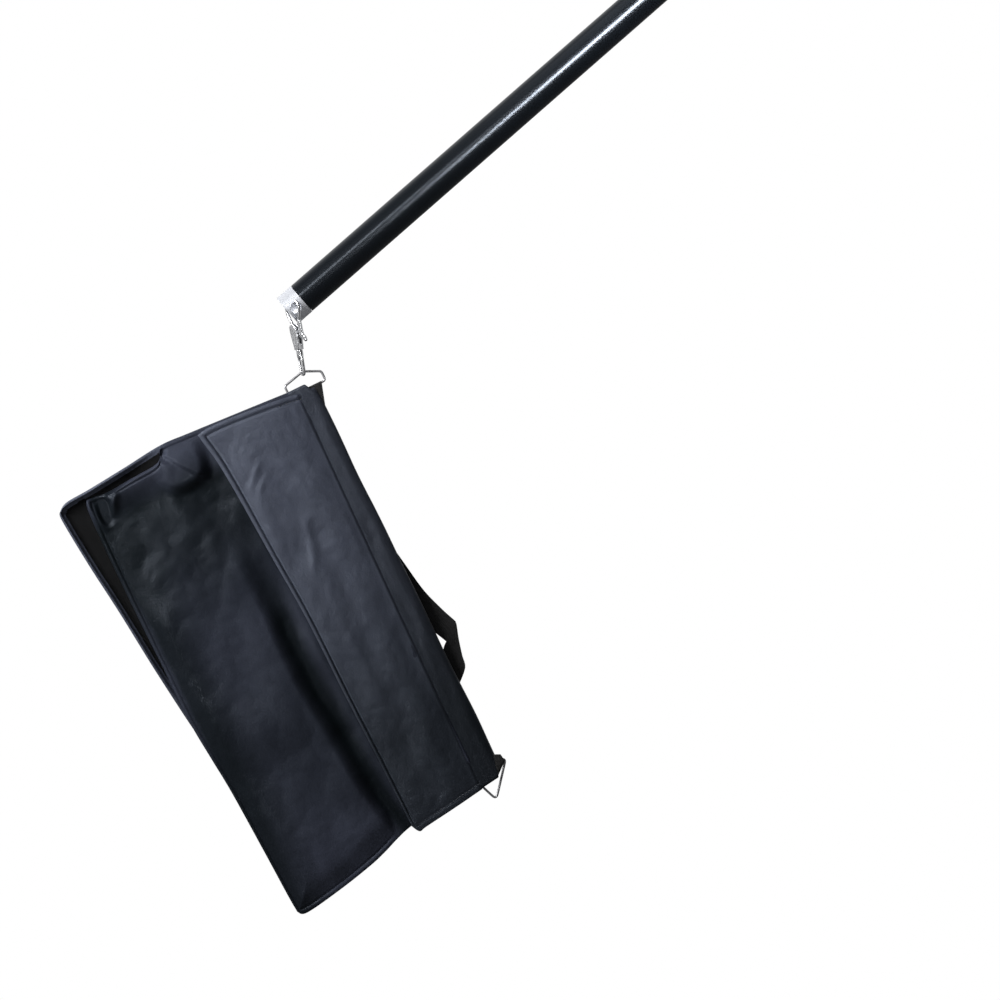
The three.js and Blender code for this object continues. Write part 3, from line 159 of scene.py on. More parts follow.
class Finish:
    """A material or a world and the nodes in it."""

    def __init__(self, name, kind="materials"):
        self.owner = getattr(bpy.data, kind).new(name)
        self.owner.use_nodes = True
        self.tree = self.owner.node_tree
        self.tree.nodes.clear()

    def node(self, kind, settings=None, inputs=None, output=0):
        made = self.tree.nodes.new(kind)
        for key, value in (settings or {}).items():
            if key == "stops":
                self.set_stops(made.color_ramp, value)
            else:
                setattr(made, key, value)
        for key, value in (inputs or {}).items():
            if isinstance(value, Socket):
                self.tree.links.new(value.output, made.inputs[key])
            else:
                made.inputs[key].default_value = value
        return Socket(self, made.outputs[output])

    def set_stops(self, ramp, stops):
        while len(ramp.elements) < len(stops):
            ramp.elements.new(0.5)
        for element, (place, colour) in zip(ramp.elements, stops):
            element.position = place
            element.color = (*colour, 1.0) if isinstance(colour, tuple) else gray(colour)

    def place(self):
        return self.node("ShaderNodeTexCoord", output="Object")

    def cloth_uv(self):
        return self.node("ShaderNodeUVMap", {"uv_map": "cloth"})

    def axes(self, vector):
        return [self.node("ShaderNodeSeparateXYZ", None, {0: vector}, i) for i in range(3)]

    def weave(self, uv, pitch):
        """The bumps of a plain weave with threads of the width given in millimetres."""
        u, v, _ = self.axes(uv)
        turn = 2 * math.pi / (pitch * MM)
        return (u * turn).sine() * (v * turn).sine()

    def cloud(self, vector, scale, detail=3.0, roughness=0.5):
        return self.node("ShaderNodeTexNoise", None,
                         {"Vector": vector, "Scale": scale, "Detail": detail, "Roughness": roughness})

    def cells(self, vector, scale, feature="F1"):
        return self.node("ShaderNodeTexVoronoi", {"feature": feature}, {"Vector": vector, "Scale": scale},
                         "Distance")

    def ramp(self, factor, stops):
        return self.node("ShaderNodeValToRGB", {"stops": stops}, {"Fac": factor})

    def blend(self, factor, first, second, kind="MIX"):
        return self.node("ShaderNodeMix", {"data_type": "RGBA", "blend_type": kind},
                         {0: factor, 6: first, 7: second}, 2)

    def bump(self, height, distance, strength=1.0, normal=None):
        inputs = {"Height": height, "Distance": distance, "Strength": strength}
        if normal is not None:
            inputs["Normal"] = normal
        return self.node("ShaderNodeBump", None, inputs)

    def ray(self, kind):
        return self.node("ShaderNodeLightPath", output=f"Is {kind} Ray")

    def glow(self, kind, strength):
        return self.node(f"ShaderNode{kind}", None, {"Color": WHITE, "Strength": strength})

    def either(self, factor, first, second):
        return self.node("ShaderNodeMixShader", None, {0: factor, 1: first, 2: second})

    def surface(self, **inputs):
        names = {key.replace("_", " "): value for key, value in inputs.items()}
        return self.out(self.node("ShaderNodeBsdfPrincipled", None, names))

    def out(self, shader, kind="Material"):
        end = self.tree.nodes.new(f"ShaderNodeOutput{kind}")
        self.tree.links.new(shader.output, end.inputs["Surface"])
        return self.owner


# Materials


# Wear of the cloth with painted light and shade, by its share of CLOTH_LENGTH down the bag (the flap and spine
# lighter at the top and darker towards the foot), and gloss with painted shade by its share of CLOTH_WIDTH across
FLAP_WEAR_AND_LIGHT_SHARES = [(0.0, 1.0), (0.4, 0.84), (0.76, 0.2), (1.0, 0.2)]
SPINE_WEAR_AND_LIGHT_SHARES = [(0.0, 0.76), (0.4, 0.66), (0.76, 0.1), (1.0, 0.16)]
POUCH_WEAR_AND_LIGHT_SHARES = [(0.0, 0.9), (0.035, 0.55), (0.08, 0.0), (0.2, 0.12), (0.42, 0.68), (0.66, 0.4),
                     (0.8, 0.55), (0.9, 0.9), (1.0, 1.0)]
SIDE_GLOSS_AND_SHADE_SHARES = [(0.62, 0.0), (0.72, 0.85), (0.765, 0.85), (0.785, 0.0)]
CLOTH_LENGTH = 0.42
CLOTH_WIDTH = 0.3
# Film colours: the dark glossy copy is painted shade, the light worn copy painted light as well as wear
GLOSSY_SHADED_FILM = (0.3, 0.38, 0.34)
WORN_LIT_FILM = (2.4, 2.35, 2.5)
COOL_SHINE = (0.76, 0.85, 1.0, 1.0)
PAINT_SHINE = (0.78, 0.87, 1.0, 1.0)


def fold_gloss_and_shade(f, u, v):
    """Share of a strip along the long fold that is glossier, where the cloth rubs least, and has painted shade
    darkening its colour.
    """
    line = [(down * MM / CLOTH_LENGTH, across * MM / CLOTH_WIDTH) for down, across in LONG_FOLD]
    middle = f.ramp(u / CLOTH_LENGTH, line) * CLOTH_WIDTH
    strip = f.ramp(abs(v - middle) * 20.0, [(0.0, 1.0), (0.1, 0.9), (0.3, 0.0)])
    return strip * f.ramp(u / CLOTH_LENGTH, [(0.22, 0.0), (0.42, 1.0)])


def coated_cloth(name, base, thread, shine, wear_and_light_shares, shaded_creases=False):
    """Coated nylon: a plain weave under a film whose colour carries painted light and shade, glossy and dark, or
    duller and lighter where worn and lit.
    """
    f = Finish(name)
    uv = f.cloth_uv()
    place = f.place()
    u, v, _ = f.axes(uv)
    weave = f.weave(uv, thread)
    slub = f.cloud(uv, 900.0, 2.0)
    grain = f.cloud(place, 480.0, 3.0, 0.6)
    scuff = f.cloud(place, 13.0, 5.0, 0.6)
    mottle = f.cloud(place, 110.0, 7.0, 0.78)
    crinkle = f.cells(place, 55.0, "SMOOTH_F1")
    # Wear and painted light down the bag, with a little random scuffing
    worn_and_lit = f.ramp(u / CLOTH_LENGTH + scuff * 0.12 - 0.06, wear_and_light_shares)
    # Painted shade along the long fold and at the pouch's outer side, which are also made glossier
    if shaded_creases:
        side_gloss_and_shade = f.ramp(v / CLOTH_WIDTH + scuff * 0.06 - 0.03, SIDE_GLOSS_AND_SHADE_SHARES)
        worn_and_lit = worn_and_lit * (1.0 - fold_gloss_and_shade(f, u, v)) * (1.0 - side_gloss_and_shade)
    # Painted light and shade: the base colour runs from the dark glossy film to the light worn one
    film = f.blend(worn_and_lit, tinted(base, GLOSSY_SHADED_FILM), tinted(base, WORN_LIT_FILM))
    shade = f.blend(scuff * 0.5 + mottle * 0.5, gray(0.4), gray(1.6))
    normal = f.bump(weave * 0.5 + slub * 0.4 + grain * (0.8 + worn_and_lit * 1.8), 0.00009, 0.8)
    normal = f.bump(mottle + crinkle * 0.5, 0.0011, 0.42, normal)
    return f.surface(Base_Color=f.blend(1.0, film, shade, "MULTIPLY"), Normal=normal,
                     Roughness=0.28 + worn_and_lit * 0.26 + mottle * 0.05, Specular_IOR_Level=shine,
                     Specular_Tint=COOL_SHINE)


def reverse_cloth_shade(settings):
    """Flat near-black cloth with the weave plain to see: painted shade for the faces where the pouches lie against
    each other.
    """
    f = Finish("reverse_cloth_shade")
    weave = f.weave(f.cloth_uv(), settings.thread)
    fuzz = f.cloud(f.place(), 500.0, 4.0, 0.7)
    colour = f.blend(fuzz, tone(settings.webbing, 0.3), tone(settings.webbing, 0.9))
    return f.surface(Base_Color=colour, Roughness=0.9, Normal=f.bump(weave + fuzz, 0.0001),
                     Specular_IOR_Level=0.2)


def webbing_weave(settings):
    """Woven nylon webbing: herringbone ribs along its length."""
    f = Finish("black_webbing")
    uv = f.cloth_uv()
    u, v, _ = f.axes(uv)
    rib = abs((v / 0.0032).wrap(1.0) - 0.5)
    pick = (u * (2 * math.pi / 0.0014) + rib * 9.0).sine()
    fuzz = f.cloud(uv, 2500.0, 3.0)
    height = pick * 0.5 + rib + fuzz * 0.5
    colour = f.blend(height * 0.5, tone(settings.webbing, 0.5), tone(settings.webbing, 1.8))
    return f.surface(Base_Color=colour, Roughness=0.78 + fuzz * 0.2, Normal=f.bump(height, 0.00028),
                     Specular_IOR_Level=0.35, Sheen_Weight=0.2, Sheen_Roughness=0.5)


def sewing_thread(settings):
    f = Finish("sewing_thread")
    twist = f.cloud(f.place(), 3500.0, 2.0)
    colour = f.blend(twist, tone(settings.thread_colour, 0.6), tone(settings.thread_colour, 1.4))
    return f.surface(Base_Color=colour, Roughness=0.5 + twist * 0.2, Normal=f.bump(twist, 0.00008))


def closure_pile():
    f = Finish("closure_tape")
    pile = f.cells(f.place(), 1100.0)
    colour = f.ramp(pile, [(0.0, (0.03, 0.031, 0.034)), (1.0, (0.006, 0.006, 0.007))])
    return f.surface(Base_Color=colour, Roughness=0.9 - pile * 0.1, Normal=f.bump(1.0 - pile, 0.0005),
                     Specular_IOR_Level=0.3)


def tube_paint(settings):
    """Gloss black paint with a faint orange peel and hazy handling marks."""
    f = Finish("painted_tube")
    place = f.place()
    peel = f.cloud(place, 420.0, 2.0)
    haze = f.cloud(place, 16.0, 4.0, 0.6)
    colour = f.blend(haze, tone(settings.paint, 0.7), tone(settings.paint, 1.4))
    return f.surface(Base_Color=colour, Roughness=0.24 + haze * 0.05, Normal=f.bump(peel, 0.000001, 0.5),
                     Specular_IOR_Level=settings.paint_gloss, Specular_Tint=PAINT_SHINE)


def powder_coat(settings):
    f = Finish("painted_casting")
    place = f.place()
    grain = f.cloud(place, 1400.0, 3.0)
    swell = f.cloud(place, 90.0, 2.0)
    wear = f.cloud(place, 60.0, 6.0, 0.7)
    colour = f.blend(wear, tone(settings.casting, 0.75), tone(settings.casting, 1.5))
    normal = f.bump(grain, 0.00015, 0.7)
    normal = f.bump(swell, 0.0004, 0.5, normal)
    return f.surface(Base_Color=colour, Roughness=0.42 + wear * 0.2, Normal=normal)


def moulded_nylon(name, colour, roughness):
    """Moulded nylon with a spark-eroded grain and faint flow marks."""
    f = Finish(name)
    place = f.place()
    grain = f.cells(place, 900.0)
    flow = f.cloud(place, 35.0, 4.0, 0.6)
    shade = f.blend(flow, tone(colour, 0.8), tone(colour, 1.25))
    return f.surface(Base_Color=shade, Roughness=roughness + flow * 0.14, Normal=f.bump(grain, 0.00012, 0.7))


def pressed_fibre():
    f = Finish("gray_fibre")
    place = f.place()
    hair = f.cloud(place, 700.0, 6.0, 0.8)
    patch = f.cloud(place, 120.0, 3.0)
    colour = f.ramp(hair * 0.7 + patch * 0.3,
                    [(0.3, (0.06, 0.055, 0.048)), (0.55, (0.14, 0.128, 0.11)), (0.75, (0.26, 0.23, 0.19))])
    return f.surface(Base_Color=colour, Roughness=0.85, Normal=f.bump(hair, 0.0002))


def turned_aluminium():
    """Bright aluminium with fine tool lines round it and a few handling marks."""
    f = Finish("bright_aluminium")
    place = f.place()
    along = f.node("ShaderNodeVectorMath", {"operation": "DOT_PRODUCT"}, {0: place, 1: tuple(BOOM_WAY)},
                   "Value")
    tooling = f.node("ShaderNodeTexNoise", {"noise_dimensions": "1D"},
                     {"W": along, "Scale": 2500.0, "Detail": 3.0})
    mark = f.cloud(place, 240.0, 5.0, 0.7)
    colour = f.blend(mark, (0.6, 0.62, 0.67, 1.0), (0.76, 0.78, 0.83, 1.0))
    return f.surface(Base_Color=colour, Metallic=0.5, Roughness=0.26 + mark * 0.1,
                     Normal=f.bump(tooling, 0.000004, 0.5))


def bright_metal(name, colour, roughness, marks, metallic):
    """Plated or ground metal: clouds of tiny scratches and a soft unevenness under the shine."""
    f = Finish(name)
    place = f.place()
    haze = f.cloud(place, 170.0, 5.0, 0.65)
    swell = f.cloud(place, 600.0, 2.0)
    shade = f.blend(haze, tone(colour, 0.86), tone(colour, 1.06))
    return f.surface(Base_Color=shade, Metallic=metallic, Roughness=roughness + haze * marks,
                     Normal=f.bump(swell, 0.000004, 0.6))


# Modelling helpers

WELD = 2e-6
SHARP_ANGLE = 34
EDGE_SEGMENTS = 3
SELVEDGE = 0.0003
SELVEDGE_ANGLE = 50


def finished(name, shape, material, body, replaced=(), slot=None, smooth_angle=None, bend=None):
    """Turns a bmesh into a piece that rides on a body and stands for the CAD nodes given.

    With bend it is baked where it stands and rides on no body; the bend's body and points are not used.
    """
    mesh = bpy.data.meshes.new(name)
    for face in shape.faces:
        face.smooth = True
    shape.to_mesh(mesh)
    shape.free()
    mesh.materials.append(material)
    if smooth_angle is not None:
        mesh.set_sharp_from_angle(angle=math.radians(smooth_angle))
    piece = bpy.data.objects.new(name, mesh)
    bpy.context.scene.collection.objects.link(piece)
    if bend:
        bend[0]
        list(bend[1:])
        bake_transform(piece)
    else:
        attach(piece, body)
    if replaced:
        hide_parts(*replaced)
    return piece


def body_of_node(node):
    return next(body for body, nodes in frame["record"]["behaviour"]["bodies"].items() if node in nodes)


def slot_of_node(node):
    return next(part["material_slot"] for part in frame["record"]["subparts"] if part["node"] == node)


def welded(node):
    """The CAD node's mesh as one closed bmesh."""
    shape = bmesh.new()
    shape.from_mesh(frame["nodes"][node].data)
    bmesh.ops.remove_doubles(shape, verts=shape.verts, dist=WELD)
    return shape


def broken_edges(node, material, edge):
    """A hard piece as the CAD has it, with its sharp edges broken so that they catch the light."""
    shape = welded(node)
    bmesh.ops.dissolve_limit(shape, angle_limit=math.radians(0.4), verts=shape.verts, edges=shape.edges)
    piece = finished(f"{node}_finished", shape, material, body_of_node(node), (node,), slot_of_node(node),
                     SHARP_ANGLE)
    bevelled(piece, edge, EDGE_SEGMENTS, SHARP_ANGLE)


def bevelled(piece, width, segments, angle):
    bevel = piece.modifiers.new("broken_edges", "BEVEL")
    bevel.width = width
    bevel.segments = segments
    bevel.limit_method = "ANGLE"
    bevel.angle_limit = math.radians(angle)
    bevel.harden_normals = True


def cast(node, shape, material, voxel, smoothing):
    """A small cast piece: its shapes melted together, with every edge and joint tumbled smooth."""
    piece = finished(f"{node}_finished", shape, material, body_of_node(node), (node,), slot_of_node(node))
    remesh = piece.modifiers.new("cast", "REMESH")
    remesh.mode = "VOXEL"
    remesh.voxel_size = voxel * MM
    remesh.use_smooth_shade = True
    smooth = piece.modifiers.new("tumbled", "SMOOTH")
    smooth.factor = 0.5
    smooth.iterations = smoothing


def spun(name, profile, material, body, replaced):
    """A turned piece on the boom's axis from a closed profile of (radius, along) in millimetres."""
    shape = bmesh.new()
    ring = [shape.verts.new(on_boom(along, radius)) for radius, along in profile]
    edges = [shape.edges.new((a, b)) for a, b in zip(ring, ring[1:] + ring[:1])]
    bmesh.ops.spin(shape, geom=ring + edges, cent=BOOM_AXIS, axis=BOOM_WAY, angle=2 * math.pi, steps=128,
                   use_merge=True)
    bmesh.ops.remove_doubles(shape, verts=shape.verts, dist=1e-6)
    bmesh.ops.recalc_face_normals(shape, faces=shape.faces)
    finished(name, shape, material, body, replaced, slot_of_node(replaced[0]), SHARP_ANGLE)


class Line:
    """A smooth line through points of (u, v) in millimetres."""

    STEPS = 8

    def __init__(self, points):
        points = np.array(points, dtype=float)
        share = np.arange(self.STEPS)[:, None] / self.STEPS
        padded = np.vstack([points[:1], points, points[-1:]])
        runs = [0.5 * (2 * b + (c - a) * share + (2 * a - 5 * b + 4 * c - d) * share ** 2
                       + (3 * b - a - 3 * c + d) * share ** 3)
                for a, b, c, d in zip(padded, padded[1:], padded[2:], padded[3:])]
        self.points = np.vstack([*runs, points[-1:]])
        pieces = np.linalg.norm(np.diff(self.points, axis=0), axis=1)
        self.reach = np.concatenate([[0.0], np.cumsum(pieces)])
        self.length = float(self.reach[-1])

    def at(self, share):
        wanted = np.asarray(share) * self.length
        return np.stack([np.interp(wanted, self.reach, self.points[:, k]) for k in (0, 1)], axis=-1)

    def beside(self, places):
        """Distance of each place, positive towards growing v for a line down the bag, and share along."""
        nearest = np.full(len(places), np.inf)
        signed = np.zeros(len(places))
        share = np.zeros(len(places))
        for start, a, b in zip(self.reach, self.points, self.points[1:]):
            way = b - a
            t = np.clip((places - a) @ way / (way @ way), 0, 1)
            off = places - a - t[:, None] * way
            gap = np.linalg.norm(off, axis=1)
            side = np.sign(way[0] * off[:, 1] - way[1] * off[:, 0])
            closer = gap < nearest
            nearest[closer] = gap[closer]
            signed[closer] = (gap * side)[closer]
            share[closer] = ((start + t * np.linalg.norm(way)) / self.length)[closer]
        return signed, share


def eased(x, low, high):
    share = np.clip((np.asarray(x, dtype=float) - low) / (high - low), 0, 1)
    return share * share * (3 - 2 * share)


def bell(x, centre, width, height):
    return height * np.exp(-((x - centre) / width) ** 2)


def dome(x, reach):
    return np.sin(np.pi / 2 * eased(x, 0, reach))


def crease(places, points, depth, left, right, fade_in, fade_out):
    """A dent along a line, or a ridge where the depth is negative, with its width to each side."""
    off, share = Line(points).beside(places)
    strength = eased(share, 0, fade_in) * (1 - eased(share, 1 - fade_out, 1))
    return -depth * strength * np.exp(-(off / np.where(off > 0, left, right)) ** 2)


def creases(places, rows):
    return sum(crease(places, *row) for row in rows)


def mound(places, centre, wide, tall, height):
    x, y = ((places - np.array(centre)) / (wide, tall)).T
    return height * np.exp(-(x * x + y * y))


def ripple(places, wide, tall, height, seed):
    """Soft uneven waves of the cloth, with their size down the bag and across it."""
    return height * np.array([noise.noise((u / wide, v / tall, seed)) for u, v in places])


def crumple(places, size, height, seed):
    """Small sharp-edged dents, as in stiff coated cloth."""
    return height * np.array([abs(noise.noise((u / size, v / size, seed))) for u, v in places])


class Patch:
    """A four-sided cut of cloth between its upper, lower, near and far edges."""

    def __init__(self, upper, lower, near, far):
        self.upper, self.lower, self.near, self.far = (Line(edge) for edge in (upper, lower, near, far))

    def at(self, s, t):
        """s runs from the near edge to the far one, t from the upper edge to the lower one."""
        across, down = s[:, None], t[:, None]
        corners = ((self.upper.at(0) * (1 - across) + self.upper.at(1) * across) * (1 - down)
                   + (self.lower.at(0) * (1 - across) + self.lower.at(1) * across) * down)
        return (self.upper.at(s) * (1 - down) + self.lower.at(s) * down
                + self.near.at(t) * (1 - across) + self.far.at(t) * across - corners)

    def inset(self, s, t):
        """Distance in millimetres to the nearest edge other than the near one, and to the near one."""
        wide = self.upper.length * (1 - t) + self.lower.length * t
        tall = self.near.length * (1 - s) + self.far.length * s
        return np.minimum((1 - s) * wide, np.minimum(t, 1 - t) * tall), s * wide


def gathered(share, amount):
    """Grid shares drawn towards both ends, so that rims get more rows."""
    return share * (1 - amount) + (0.5 - 0.5 * np.cos(np.pi * share)) * amount


def cloth_grid(columns, rows, amount, shape_at):
    """A flat grid bent to shape_at(s, t), which gives places (u, v) and heights; also the places and t."""
    shape = bmesh.new()
    bmesh.ops.create_grid(shape, x_segments=columns, y_segments=rows, size=0.5)
    s, t = (gathered(np.array([vert.co[k] for vert in shape.verts]) + 0.5, amount) for k in (0, 1))
    places, heights = shape_at(s, t)
    for vert, (u, v), out in zip(shape.verts, places, heights):
        vert.co = on_bag(u, v, out)
    return shape, places, t


def lay_flat_uv(shape, places):
    """Stores the cloth's own flat pattern, in metres, as its UV."""
    layer = shape.loops.layers.uv.new("cloth")
    for face in shape.faces:
        for loop in face.loops:
            loop[layer].uv = places[loop.vert.index] * MM


def facing(shape, way):
    """Turns all faces so that most of them look the way given."""
    bmesh.ops.recalc_face_normals(shape, faces=shape.faces)
    if sum((face.normal * face.calc_area() for face in shape.faces), Vector()).dot(way) < 0:
        bmesh.ops.reverse_faces(shape, faces=shape.faces)


def cloth_sheet(patch, columns, rows, out, thickness, side):
    """One thickness of cloth with out(places, insets) as outer face, on the front (1) or back (-1)."""

    def shape_at(s, t):
        places = patch.at(s, t)
        return places, out(places, *patch.inset(s, t))

    shape, places, _ = cloth_grid(columns, rows, 0.5, shape_at)
    lay_flat_uv(shape, places)
    facing(shape, side * TOWARDS_CAMERA)
    skin = shape.verts[:]
    bmesh.ops.solidify(shape, geom=shape.faces[:], thickness=thickness * MM)
    outermost = max(shape.verts, key=lambda vert: side * vert.co.dot(TOWARDS_CAMERA))
    if outermost not in skin:
        bmesh.ops.translate(shape, vec=-side * thickness * MM * TOWARDS_CAMERA, verts=shape.verts)
    bmesh.ops.recalc_face_normals(shape, faces=shape.faces)
    return shape


def pillow(patch, columns, rows, front, back, rim):
    """A flat double cloth with turned seams: its front and back heights meet in a round rim."""
    shape = bmesh.new()

    def add_layer(own, other):
        def shape_at(s, t):
            places = patch.at(s, t)
            inset, from_root = patch.inset(s, t)
            near, far = own(places, inset, from_root), other(places, inset, from_root)
            share = np.clip(np.minimum(inset, from_root) / rim, 0, 1)
            return places, (near + far) / 2 + (near - far) / 2 * np.sqrt(1 - (1 - share) ** 2)

        layer, places, _ = cloth_grid(columns, rows, 0.75, shape_at)
        lay_flat_uv(layer, places)
        mesh = bpy.data.meshes.new("layer")
        layer.to_mesh(mesh)
        layer.free()
        shape.from_mesh(mesh)
        bpy.data.meshes.remove(mesh)

    add_layer(front, back)
    add_layer(back, front)
    bmesh.ops.remove_doubles(shape, verts=shape.verts, dist=WELD)
    bmesh.ops.recalc_face_normals(shape, faces=shape.faces)
    return shape


STITCH_PITCH, STITCH_LENGTH, STITCH_WIDTH = 3.4, 2.3, 0.6


def stitch_row(shape, points, out):
    """Adds thread beads along a line on the cloth, out(places) millimetres in front of the bag's middle."""
    line = Line(points)
    starts = np.arange(0, line.length - STITCH_LENGTH, STITCH_PITCH)
    ends = line.at((starts + STITCH_LENGTH) / line.length)
    starts = line.at(starts / line.length)
    for a, b, a_out, b_out in zip(starts, ends, out(starts), out(ends)):
        start, end = on_bag(*a, a_out), on_bag(*b, b_out)
        way = end - start
        side = way.cross(TOWARDS_CAMERA).normalized()
        up = side.cross(way).normalized()
        thick = STITCH_WIDTH * MM * 0.5
        axes = Matrix((way * 0.5, side * thick, up * thick)).transposed().to_4x4()
        bead = bmesh.ops.create_icosphere(shape, subdivisions=1, radius=1.0)
        bmesh.ops.transform(shape, matrix=Matrix.Translation((start + end) / 2) @ axes, verts=bead["verts"])


def round_wire(shape, points, radius):
    """Adds a round wire through the places given."""
    curve = bpy.data.curves.new("wire", "CURVE")
    curve.dimensions = "3D"
    curve.bevel_depth = radius * MM
    curve.bevel_resolution = 5
    curve.use_fill_caps = True
    spline = curve.splines.new("NURBS")
    spline.points.add(len(points) - 1)
    for knot, place in zip(spline.points, points):
        knot.co = (*place, 1.0)
    spline.use_endpoint_u = True
    spline.order_u = 3
    holder = bpy.data.objects.new("wire", curve)
    mesh = bpy.data.meshes.new_from_object(holder)
    shape.from_mesh(mesh)
    bpy.data.objects.remove(holder)
    bpy.data.meshes.remove(mesh)
    bpy.data.curves.remove(curve)


def plate_on_snap(shape, outline, near, far):
    """Adds a plate with an outline of (across, up), from near to far through the snap's thickness."""
    rim = [shape.verts.new(on_snap(across, up, near)) for across, up in outline]
    face = shape.faces.new(rim)
    thick = bmesh.ops.extrude_face_region(shape, geom=[face])
    moved = [item for item in thick["geom"] if isinstance(item, bmesh.types.BMVert)]
    bmesh.ops.translate(shape, vec=SNAP_DEPTH * (far - near) * MM, verts=moved)


def webbing_strip(name, path, width, thickness, body, replaced, columns):
    """Webbing along a path of (middle, way across, share of the width)."""
    shape = bmesh.new()
    bmesh.ops.create_grid(shape, x_segments=len(path) - 1, y_segments=columns, size=0.5)
    layer = shape.loops.layers.uv.new("cloth")
    reach = [0.0]
    for (a, _, _), (b, _, _) in zip(path, path[1:]):
        reach.append(reach[-1] + (b - a).length)
    cut = {}
    for vert in shape.verts:
        i = round((vert.co.x + 0.5) * (len(path) - 1))
        share = vert.co.y + 0.5
        centre, across, span = path[i]
        cut[vert] = (reach[i], share * width * MM)
        vert.co = centre + across.normalized() * (share - 0.5) * width * span * MM
    for face in shape.faces:
        for loop in face.loops:
            loop[layer].uv = cut[loop.vert]
    bmesh.ops.recalc_face_normals(shape, faces=shape.faces)
    bmesh.ops.solidify(shape, geom=shape.faces[:], thickness=thickness * MM)
    bmesh.ops.recalc_face_normals(shape, faces=shape.faces)
    piece = finished(name, shape, finishes()["black_webbing"], body, replaced, "black_webbing")
    bevelled(piece, SELVEDGE, 2, SELVEDGE_ANGLE)


# Settings a user would change


def colour_setting(name, description, default):
    return bpy.props.FloatVectorProperty(name=name, description=description, subtype="COLOR", size=3,
                                         default=default, min=0, max=1)


def power_setting(name, description, default):
    return bpy.props.FloatProperty(name=name, description=description, default=default, min=0,
                                   subtype="POWER")


class ClothSettings(bpy.types.PropertyGroup):
    cloth: colour_setting("Cloth colour", "Coated nylon of the bag", (0.0150, 0.0172, 0.0240))
    webbing: colour_setting("Webbing colour", "Tabs and carrying strap", (0.0042, 0.0045, 0.0055))
    thread_colour: colour_setting("Thread colour", "Sewing thread", (0.055, 0.06, 0.07))
    thread: bpy.props.FloatProperty(name="Thread pitch", default=0.9, min=0.3, max=3,
                                    description="Width of one thread of the weave, in mm")
    thickness: bpy.props.FloatProperty(name="Cloth thickness", description="Thickness of the cloth, in mm",
                                       default=1.2, min=0.5, max=3)
    fold_depth: bpy.props.FloatProperty(name="Fold depth", description="Depth of the long fold, in mm",
                                        default=8.5, min=0, max=12)


class MetalSettings(bpy.types.PropertyGroup):
    paint: colour_setting("Tube paint", "Gloss paint of the tubes", (0.0022, 0.0032, 0.0046))
    paint_gloss: bpy.props.FloatProperty(name="Paint gloss", description="Strength of the paint's shine",
                                         default=0.45, min=0, max=1, subtype="FACTOR")
    casting: colour_setting("Casting colour", "Powder coat of the head", (0.014, 0.015, 0.017))
    knob: colour_setting("Knob colour", "Moulded nylon of the knobs", (0.012, 0.0125, 0.014))


class StudioSettings(bpy.types.PropertyGroup):
    key: power_setting("Key light", "Power of the soft light on the left, before the bag", 26.5)
    strip: power_setting("Strip light", "Power of the strip before the tube", 9.0)
    sheen: power_setting("Sheen light", "Power of the large dim light above the tube", 7.0)
    room: bpy.props.FloatProperty(name="Room light", description="Strength of the even light", default=0.05,
                                  min=0)


# Bag lines, in millimetres down the spine and across the pouches

SEAM_TOP, SEAM_FOOT = 16.2, 23.9
FLAP_ROOT = [(-1.0, SEAM_TOP), (130, 19.0), (260, 21.6), (394.5, SEAM_FOOT)]
FLAP_TOP = [(-1.0, SEAM_TOP), (-3.6, 33.2), (-6.0, 55.7), (-8.2, 82), (-9.0, 104), (-7.2, 115.5)]
FLAP_FREE_EDGE = [(-7.2, 115.5), (2, 114.0), (14, 111.6), (30, 109.4), (63.3, 106.8), (121, 103.6),
                  (186, 99.6), (266.2, 98.6), (330, 97), (396.8, 96)]
FLAP_FOOT = [(394.5, SEAM_FOOT), (399, 56), (402.6, 84), (403.8, 91.5), (396.8, 96)]

FRONT_TOP = [(-6.3, 22.5), (-9.1, 64.4), (-12.4, 118), (-13.8, 147), (-10, 153.5), (-0.6, 160), (1.5, 186),
             (3.2, 212), (1.2, 228), (1.0, 232.5)]
FRONT_OUTER = [(1.0, 232.5), (12, 235.5), (50, 236.8), (100.9, 237.1), (171.8, 237), (224.5, 236.6),
               (262, 233.5), (298.4, 230.2), (360.6, 227.1), (405, 225.2), (421.5, 224)]
FRONT_FOOT = [(387, 22.5), (391, 60), (396.5, 96), (401.7, 113.6), (407, 127.4), (412.6, 145.2),
              (420.2, 179.3), (426, 216), (421.5, 224)]
FRONT_ROOT = [(-6.3, 22.5), (190, 22.5), (387, 22.5)]

REAR_TOP = [(-6.3, 22.5), (-9.1, 64.4), (-12.4, 118), (-14.2, 150.6), (-9.7, 190.3), (-6.2, 226), (-4.4, 250),
            (1.5, 259.5)]
REAR_OUTER = [(1.5, 259.5), (10, 260.4), (55.2, 256.3), (106.7, 250.1), (170.5, 243.7), (226.9, 237.2),
              (262, 231), (300, 226), (360, 222), (412, 217)]
REAR_FOOT = [(384, 22.5), (388, 60), (391, 96), (400, 140), (408, 180), (412, 217)]
REAR_ROOT = [(-6.3, 22.5), (190, 22.5), (384, 22.5)]

LONG_FOLD = [(60, 128), (100, 123), (145, 119.5), (196, 121), (238, 120.5), (282, 116.5), (331, 112.5),
             (365, 108), (400, 99)]
HEM_RIDGE = [(-4, 155), (0.8, 160), (2.6, 171), (4.2, 186), (6.5, 202), (8.0, 214), (9, 220)]
KNOT_FLANK = [(-14, 118), (-0.4, 119.3), (15.9, 121), (26.8, 125.7), (30.8, 139.9), (28.7, 155.3),
              (21.2, 163)]
FACET_CREASE = [(-9, 155.7), (-3.7, 151.8), (15.4, 137.9), (24, 131.6)]


